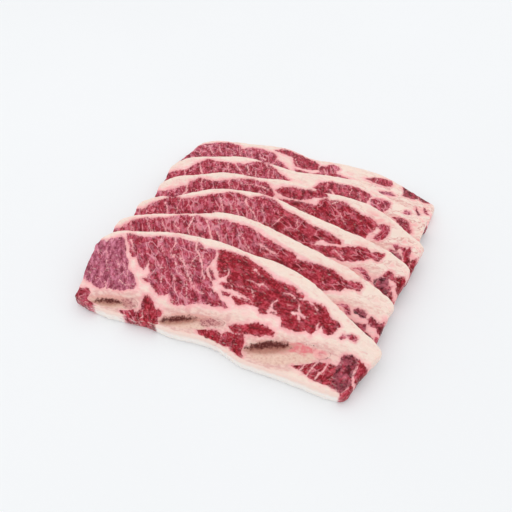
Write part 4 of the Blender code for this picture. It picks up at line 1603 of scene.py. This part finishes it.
def fat_effect() -> bpy.types.NodeTree:
    """Colour and soft grain of raw fat with pale flecks of painted highlight, pink where it is thin
    and next to the lean.

    Returns:
        The group.
    """
    effect = Effect("Raw fat", {"Place": "Vector", "Cream": "Float", "Sinew": "Float",
                                "Crack": "Float", "Lean Depth": "Float"},
                    {"Color": "Color", "Height": "Float"})
    b, (place, cream, sinew, veined, inside) = effect.bench, list(effect.given)[:5]
    cloud = b.drawn_out(place, (0.09, 0.16, 0.12))
    fine = b.drawn_out(place, (0.22, 0.4, 0.4), 4.0, 0.6, (0.6, 0.6))
    warm = b.math("ADD", cream, b.ease(inside, -4.6, -1.6, 0.7, 0.0))
    colour = b.blend(b.shaken(warm, cloud, 2.2, clamp=True), Swatch.FAT_PINK, Swatch.FAT_CREAM)
    # Pale flecks at random through the fat: a painted highlight
    colour = b.blend(b.ease(fine, 0.5, 0.7, 0.0, 0.5), colour, Swatch.FAT_PAINTED_HIGHLIGHT)
    colour = b.blend(b.ease(fine, 0.28, 0.45, 0.5, 0.0), colour, Swatch.FAT_ROSY)
    line = b.drawn_out(place, (0.07, 0.13, 0.1), 3.0, 0.5, (1.0, 1.0))
    stained = b.times(b.ease(line, 0.5, 0.66), veined)
    colour = b.blend(b.times(stained, 0.8), colour, Swatch.FAT_STAIN)
    crack = b.ease(b.math("ABSOLUTE", b.math("SUBTRACT", line, 0.5)), 0.0, 0.03, 0.9, 0.0)
    colour = b.blend(b.times(b.times(crack, veined), 0.7), colour, Swatch.FAT_CRACK)
    tan = b.blend(b.ease(fine, 0.4, 0.6), Swatch.SINEW, Swatch.SINEW_PALE)
    colour = b.blend(b.times(sinew, 0.75), colour, tan)
    thin = b.ease(b.shaken(inside, cloud, 5.0), -2.6, 0.0, 0.0, 0.65)
    return effect.put(Color=b.blend(thin, colour, Swatch.FAT_THIN), Height=fine)


def bone_effect() -> bpy.types.NodeTree:
    """Sawn face of a rib bone: pale rind, torn dark slit of marrow and speckled knob.

    Returns:
        The group.
    """
    effect = Effect("Rib bone", {"Place": "Vector", "Bone Along": "Float",
                                 "Bone Across": "Float", "Slit": "Float", "Slit Rise": "Float",
                                 "Knob": "Float", "Blush": "Float", "Fat": "Color"},
                    {"Color": "Color", "Height": "Float"})
    b = effect.bench
    place, along, across, slit, rise, knob, blush, fat = list(effect.given)[:8]
    cloud = b.drawn_out(place, (0.12, 0.3, 0.3))
    fine = b.drawn_out(place, (0.5, 0.8, 0.8), 4.0, 0.65)
    torn = b.drawn_out(place, (0.32, 0.3, 0.4), 5.0, 0.7)

    swayed = b.shaken(across, cloud, 1.0)
    colour = b.blend(b.ease(swayed, -0.3, 0.3), Swatch.BONE, Swatch.BONE_ROSY)
    colour = b.blend(b.ease(fine, 0.5, 0.66, 0.0, 0.5), colour, Swatch.BONE_PALE)
    colour = b.blend(b.ease(fine, 0.34, 0.48, 0.5, 0.0), colour, Swatch.BONE_DULL)
    band = b.times(b.ease(along, -0.05, 0.2), b.ease(b.shaken(swayed, cloud, 0.8), -0.25, 0.2))
    band = b.times(b.times(band, blush), b.ease(torn, 0.42, 0.54, 0.35, 0.9))
    colour = b.blend(band, colour, Swatch.BONE_BLUSH)

    speckled = b.blend(b.ease(fine, 0.38, 0.56), Swatch.KNOB, Swatch.KNOB_PALE)
    near_knob = b.shaken(knob, torn, 1.4)
    blushed = b.blend(b.ease(near_knob, 0.15, 0.75), Swatch.KNOB_BLUSH, Swatch.KNOB_FAT)
    colour = b.blend(b.ease(near_knob, 0.7, 1.2, 0.9, 0.0), colour,
                     b.blend(blush, speckled, blushed))
    rim = b.math("SQRT", b.math("MULTIPLY_ADD", along, along, b.times(across, across)))
    colour = b.blend(b.ease(b.shaken(rim, cloud, 1.0), 0.72, 1.02, 0.0, 0.9), colour, fat)
    ring = b.shaken(knob, cloud, 0.7)
    ring = b.times(b.ease(ring, 0.84, 0.98), b.ease(ring, 1.0, 1.18, 1.0, 0.0))
    ring = b.times(b.times(ring, b.ease(along, 0.55, 0.85, 0.0, 0.6)),
                   b.ease(fine, 0.4, 0.55, 1.0, 0.55))
    colour = b.blend(ring, colour, Swatch.KNOB_RING)

    stain = b.times(b.ease(b.shaken(slit, fine, 5.0), -3.0, 0.2),
                    b.ease(rise, -1.0, 1.5, 1.0, 0.35))
    colour = b.blend(b.times(stain, 0.8), colour, Swatch.SLIT_STAIN)
    level = b.shaken(rise, torn, 6.0)
    opened = b.times(b.ease(b.shaken(slit, torn, 6.5), -1.4, 0.4, 0.0, 0.97),
                     b.ease(level, -2.4, 0.2, 0.2, 1.0))
    core = b.blend(b.ease(level, -1.4, 0.7), Swatch.CORE_BROWN, Swatch.CORE_DARK)
    core = b.blend(b.ease(fine, 0.52, 0.64, 0.0, 0.5), core, Swatch.CORE_PINK)
    return effect.put(Color=b.blend(opened, colour, core),
                      Height=b.math("MULTIPLY_ADD", opened, -1.0, fine))


def wet_effect() -> bpy.types.NodeTree:
    """Uneven wet film: where the surface shines more.

    Returns:
        The group.
    """
    effect = Effect("Wet film", {"Place": "Vector", "Dry": "Float", "Wet": "Float"},
                    {"Roughness": "Float", "Film": "Float"})
    b, (place, dry, wet) = effect.bench, list(effect.given)[:3]
    mixed = b.math("MULTIPLY_ADD", b.noise(place, 1.7), 0.35,
                   b.times(b.noise(place, 0.3, 3.0), 0.65))
    film = b.ease(mixed, 0.38, 0.62)
    return effect.put(Film=film, Roughness=b.math("MULTIPLY_ADD", film,
                                                  b.math("SUBTRACT", wet, dry), dry))


@dataclass
class Effects:
    """The shared node groups."""

    marbling: bpy.types.NodeTree = field(default_factory=marbling_effect)
    lean: bpy.types.NodeTree = field(default_factory=lean_effect)
    fat: bpy.types.NodeTree = field(default_factory=fat_effect)
    bone: bpy.types.NodeTree = field(default_factory=bone_effect)
    wet: bpy.types.NodeTree = field(default_factory=wet_effect)


@dataclass(frozen=True)
class Finish:
    """Gloss and depth that a material's shader is set to.

    Args:
        name: The material's name.
        dry: Roughness where the film is thin.
        wet: Roughness where it is thick.
        coat_roughness: Roughness of the film itself.
        subsurface: Share of light that goes through the surface.
        scatter: How far red, green and blue light goes, in millimetres.
        bump: Strength of the fine relief.
        film: Weight of the film where it is thickest.
        bump_depth: Depth of the fine relief in metres.
        shine: Index of refraction of the surface, and of the film on it.
        gleam: Level of the plain shine.
    """

    name: str
    dry: float
    wet: float
    coat_roughness: float
    subsurface: float
    scatter: tuple[float, float, float]
    bump: float
    film: float = 0.16
    bump_depth: float = 0.35 * MM
    shine: Point = (1.42, 1.36)
    gleam: float = 0.22

    def start(self) -> tuple[bpy.types.Material, NodeBench]:
        """Start the material.

        Returns:
            The new material and the bench of its tree.
        """
        material = bpy.data.materials.new(self.name)
        material.use_nodes = True
        return material, NodeBench(material.node_tree)

    def fat(self, b: NodeBench, effects: Effects, place: object) -> bpy.types.Node:
        """The shared raw fat, fed with what the points of a slice say."""
        return b.group(effects.fat, Place=place,
                       **b.readings("cream", "sinew", "crack", "lean_depth"))

    def shader(self, b: NodeBench, colour: object, height: object, place: object,
               effects: Effects) -> None:
        """Set the material's shader from its colour and height.

        Args:
            b: The bench of the material's tree.
            colour: Socket of the surface colour.
            height: Socket of the fine relief.
            place: Socket of the place on the slice.
            effects: The shared node groups.
        """
        shader = b.tree.nodes["Principled BSDF"]
        wet = b.group(effects.wet, Place=place, Dry=self.dry, Wet=self.wet)
        normal = b.result("ShaderNodeBump", "Normal", {
            "Strength": self.bump, "Distance": self.bump_depth, "Height": height})
        for name, value in {
                "Base Color": colour, "Roughness": wet.outputs["Roughness"], "Normal": normal,
                "Coat Weight": b.times(wet.outputs["Film"], self.film),
                "Coat Roughness": self.coat_roughness, "Coat IOR": self.shine[1],
                "IOR": self.shine[0], "Specular IOR Level": self.gleam,
                "Subsurface Weight": self.subsurface, "Subsurface Radius": self.scatter,
                "Subsurface Scale": 1.0 * MM}.items():
            b.feed(shader.inputs[name], value)


@dataclass(frozen=True)
class CutTissue(Finish):
    """Finish of the sawn meat, fat and membrane.

    Args:
        streak: How much the streaks cover the meat.
        vein: How much the veins cover it.
        skin_level: Depth below and above which the membrane is white and peach.
    """

    streak: float = 0.68
    vein: float = 0.6
    skin_level: Point = (6.0, 9.7)

    def material(self, effects: Effects) -> bpy.types.Material:
        """Build the material.

        Args:
            effects: The shared node groups.

        Returns:
            The material.
        """
        material, b = self.start()
        place, grain = b.read("place", "Vector"), b.read("grain", "Vector")
        marbling = b.group(effects.marbling, Grain=grain, Place=place,
                           **b.readings("lean_depth", "marbling"))
        lean = b.group(effects.lean, Grain=grain, Place=place, **b.readings("tone", "bruise"))
        fat = self.fat(b, effects, place)
        colour = b.blend(b.times(marbling.outputs["Streak"], self.streak),
                         lean.outputs["Color"], lean.outputs["Streak"])
        colour = b.blend(b.times(marbling.outputs["Vein"], self.vein), colour,
                         lean.outputs["Vein"])
        colour = b.blend(marbling.outputs["Fat"], colour, fat.outputs["Color"])
        cover = b.shaken(b.read("skin"), b.drawn_out(place, (0.25, 0.6, 0.9)), 1.6)
        depth = b.result("ShaderNodeSeparateXYZ", "Z", {0: place})
        skin = b.blend(b.ease(depth, *self.skin_level), Swatch.SKIN_WHITE, Swatch.SKIN_PEACH)
        colour = b.blend(b.ease(cover, 0.1, 0.8, 0.0, 0.95), colour, skin)
        height = b.math("MULTIPLY_ADD", lean.outputs["Height"], 0.5, marbling.outputs["Height"])
        height = b.math("MULTIPLY_ADD", fat.outputs["Height"], 0.25, height)
        self.shader(b, colour, height, place, effects)
        return material


@dataclass(frozen=True)
class SawnBone(Finish):
    """Finish of a rib bone's sawn face and of its marrow.

    Args:
        blush: How pink the bone's blunt half is, from 0 to 1.
    """

    blush: float = 0.0

    def material(self, effects: Effects) -> bpy.types.Material:
        """Build the material.

        Args:
            effects: The shared node groups.

        Returns:
            The material.
        """
        material, b = self.start()
        place = b.read("place", "Vector")
        bone = b.group(effects.bone, Place=place, Blush=self.blush,
                       Fat=self.fat(b, effects, place).outputs["Color"],
                       **b.readings("bone_along", "bone_across", "slit", "slit_rise", "knob"))
        self.shader(b, bone.outputs["Color"], bone.outputs["Height"], place, effects)
        return material


class Wardrobe:
    """One material for each tissue, and one more for the blushed bones at the right."""

    def __init__(self) -> None:
        """Build every material."""
        deep, pale = (1.6, 0.35, 0.3), (1.6, 0.9, 0.7)
        effects = Effects()
        finishes = {
            Tissue.LEAN: CutTissue("raw_lean", 0.5, 0.34, 0.2, 0.12, deep, 0.55),
            Tissue.CAP: CutTissue("raw_fat_cap", 0.48, 0.36, 0.2, 0.15, pale, 0.45),
            Tissue.MEMBRANE: CutTissue("raw_membrane", 0.44, 0.3, 0.15, 0.12, pale, 0.4),
            Tissue.BONE: SawnBone("sawn_bone", 0.52, 0.4, 0.25, 0.1, pale, 0.5),
            Tissue.MARROW: SawnBone("spongy_marrow", 0.62, 0.42, 0.3, 0.08, deep, 0.9),
        }
        self.materials = {tissue: one.material(effects) for tissue, one in finishes.items()}
        blushed = SawnBone("sawn_bone_blushed", 0.5, 0.36, 0.25, 0.1, pale, 0.5, blush=1.0)
        self.blushed_bone = blushed.material(effects)

    def material(self, tissue: Tissue, side: Side | None) -> bpy.types.Material:
        """The material of a piece, which is the blushed bone's at the right rib."""
        right_bone = tissue is Tissue.BONE and side is Side.RIGHT
        return self.blushed_bone if right_bone else self.materials[tissue]


@dataclass
class DressedSlice:
    """One slice of the pile with all its pieces.

    Args:
        number: The slice, from 0 at the front.
        pile: The draping of all slices.
        wardrobe: The materials.
        step: Spacing of the shell's points on the faces.
        stain_shift: How far the slit's stain is moved, as a share of its half length.
        stain_size: Half length and half width of the stain as shares of the slit's.
    """

    number: int
    pile: Pile
    wardrobe: Wardrobe
    step: float
    stain_shift: float = 0.14
    stain_size: Point = (0.78, 1.25)

    def build(self) -> None:
        """Make the pieces, the cut ones first and then each rib with its core."""
        shell = SliceShell(self.number, self.pile, self.step)
        for tissue in CUT_TISSUES:
            self.dress(shell, tissue)
        for side in Side:
            self.mark_bone(shell, side)
            self.dress(shell, Tissue.BONE, side)
            self.dress(shell, Tissue.MARROW, side)

    def dress(self, shell: SliceShell, tissue: Tissue, side: Side | None = None) -> None:
        """Make one piece and let it stand for its solid.

        Args:
            shell: The slice's shell.
            tissue: What the piece is made of.
            side: Which rib it belongs to, if any.
        """
        ending = f"_{self.number + 1}" + (f"_{side.value}" if side else "")
        name = PIECE_NAMES[tissue] + ending
        piece = shell.piece(region_code(tissue, side), name)
        piece.data.materials.append(self.wardrobe.material(tissue, side))
        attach(piece, "root")
        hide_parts(tissue.value + ending)
        LOG.info("%s: %d faces", name, len(piece.data.polygons))

    def mark_bone(self, shell: SliceShell, side: Side) -> None:
        """Write where the shell's points lie in one bone, its slit and its knob.

        Args:
            shell: The slice's shell.
            side: Which rib.
        """
        rib, at = shell.face.rib(side), (shell.points_u, shell.points_v)
        slit, (length, width) = rib.slit, self.stain_size
        stain = replace(slit, u=slit.u - self.stain_shift * slit.half_length,
                        half_length=length * slit.half_length, half_width=width * slit.half_width)
        along, across, _ = rib.bone.place(*at)
        _, rise, radius = stain.place(*at)
        shell.attributes.update(
            knob=rib.knob.place(*at)[2], bone_along=along, bone_across=across,
            slit=(1.0 - radius) * stain.half_width, slit_rise=rise * stain.half_width)


@dataclass
class Studio:
    """Pale floor, soft light and the camera.

    Args:
        target: Point of the ground that the camera and the lights look at.
        distance: How far the camera is from it.
        azimuth: Degrees that the camera stands to the right of the front.
        elevation: Degrees that it looks down.
        lens: Its focal length in millimetres.
        sensor: Width of its sensor in millimetres.
        clip: Nearest and farthest distance that it shows.
        floor_half: Half the side of the floor.
        floor_drop: How far the floor lies under the meat.
        air: Strength of the light from all round.
    """

    target: tuple[float, float, float] = (-0.009690, -0.016941, 0.0)
    distance: float = 0.399579
    azimuth: float = 18.917
    elevation: float = 50.345
    lens: float = 32.755
    sensor: float = 36.0
    clip: Point = (0.02, 20.0)
    floor_half: float = 3.0
    floor_drop: float = 0.0002
    air: float = 0.9

    def floor(self) -> None:
        """Pale floor that runs out of view."""
        h, z = self.floor_half, -self.floor_drop
        mesh = bpy.data.meshes.new("studio_floor")
        mesh.from_pydata([(-h, -h, z), (h, -h, z), (h, h, z), (-h, h, z)], [], [(0, 1, 2, 3)])
        material = bpy.data.materials.new("studio_floor")
        material.use_nodes = True
        b = NodeBench(material.node_tree)
        tone = b.noise(b.add("ShaderNodeTexCoord").outputs["Object"], 3.0)
        for name, value in {"Base Color": b.blend(tone, Swatch.FLOOR, Swatch.FLOOR_PALE),
                            "Roughness": 0.8, "Specular IOR Level": 0.2}.items():
            b.feed(material.node_tree.nodes["Principled BSDF"].inputs[name], value)
        mesh.materials.append(material)
        placed("studio_floor", mesh)

    def light(self, name: str, place: tuple[float, float, float], size: float,
              energy: float) -> None:
        """Square soft light that looks at the food.

        Args:
            name: The light's name.
            place: Where it stands.
            size: Its side in metres.
            energy: Its power in watts.
        """
        lamp = bpy.data.lights.new(name, "AREA")
        lamp.energy, lamp.size = energy, size
        lamp_object = placed(name, lamp)
        lamp_object.location = place
        direction = np.array(self.target) - np.array(place)
        lamp_object.rotation_euler = Vector(direction).to_track_quat("-Z", "Y").to_euler()

    def camera(self) -> bpy.types.Object:
        """Camera at the photograph's viewing angle.

        Returns:
            The camera.
        """
        data = bpy.data.cameras.new("photo_view")
        data.sensor_width, data.lens = self.sensor, self.lens
        data.clip_start, data.clip_end = self.clip
        camera = placed("photo_view", data)
        a, e = math.radians(self.azimuth), math.radians(self.elevation)
        back = np.array([math.sin(a) * math.cos(e), -math.cos(a) * math.cos(e), math.sin(e)])
        camera.location = np.array(self.target) + back * self.distance
        camera.rotation_euler = (math.pi / 2 - e, 0.0, a)
        return camera

    def set_up(self) -> None:
        """Floor, lights, surroundings and camera."""
        self.floor()
        self.light("soft_key", (-0.55, -0.35, 1.25), 1.6, 3.0)
        self.light("soft_back", (0.4, 1.0, 1.0), 1.2, 1.6)
        world = bpy.data.worlds.new("studio_air")
        world.use_nodes = True
        background = world.node_tree.nodes["Background"]
        background.inputs["Color"].default_value = (1.0, 1.0, 1.0, 1.0)
        background.inputs["Strength"].default_value = self.air
        scene = bpy.context.scene
        scene.world = world
        scene.view_settings.view_transform = "Standard"
        scene.camera = self.camera()


def main() -> None:
    """Build the pile slice by slice, then the studio."""
    logging.basicConfig(level=logging.INFO)
    pile, wardrobe = Pile(), Wardrobe()
    for number in range(len(pile.plans)):
        step = FRONT_STEP if number == 0 else REAR_STEP
        DressedSlice(number, pile, wardrobe, step).build()
    Studio().set_up()


if __name__ == "__main__":
    main()
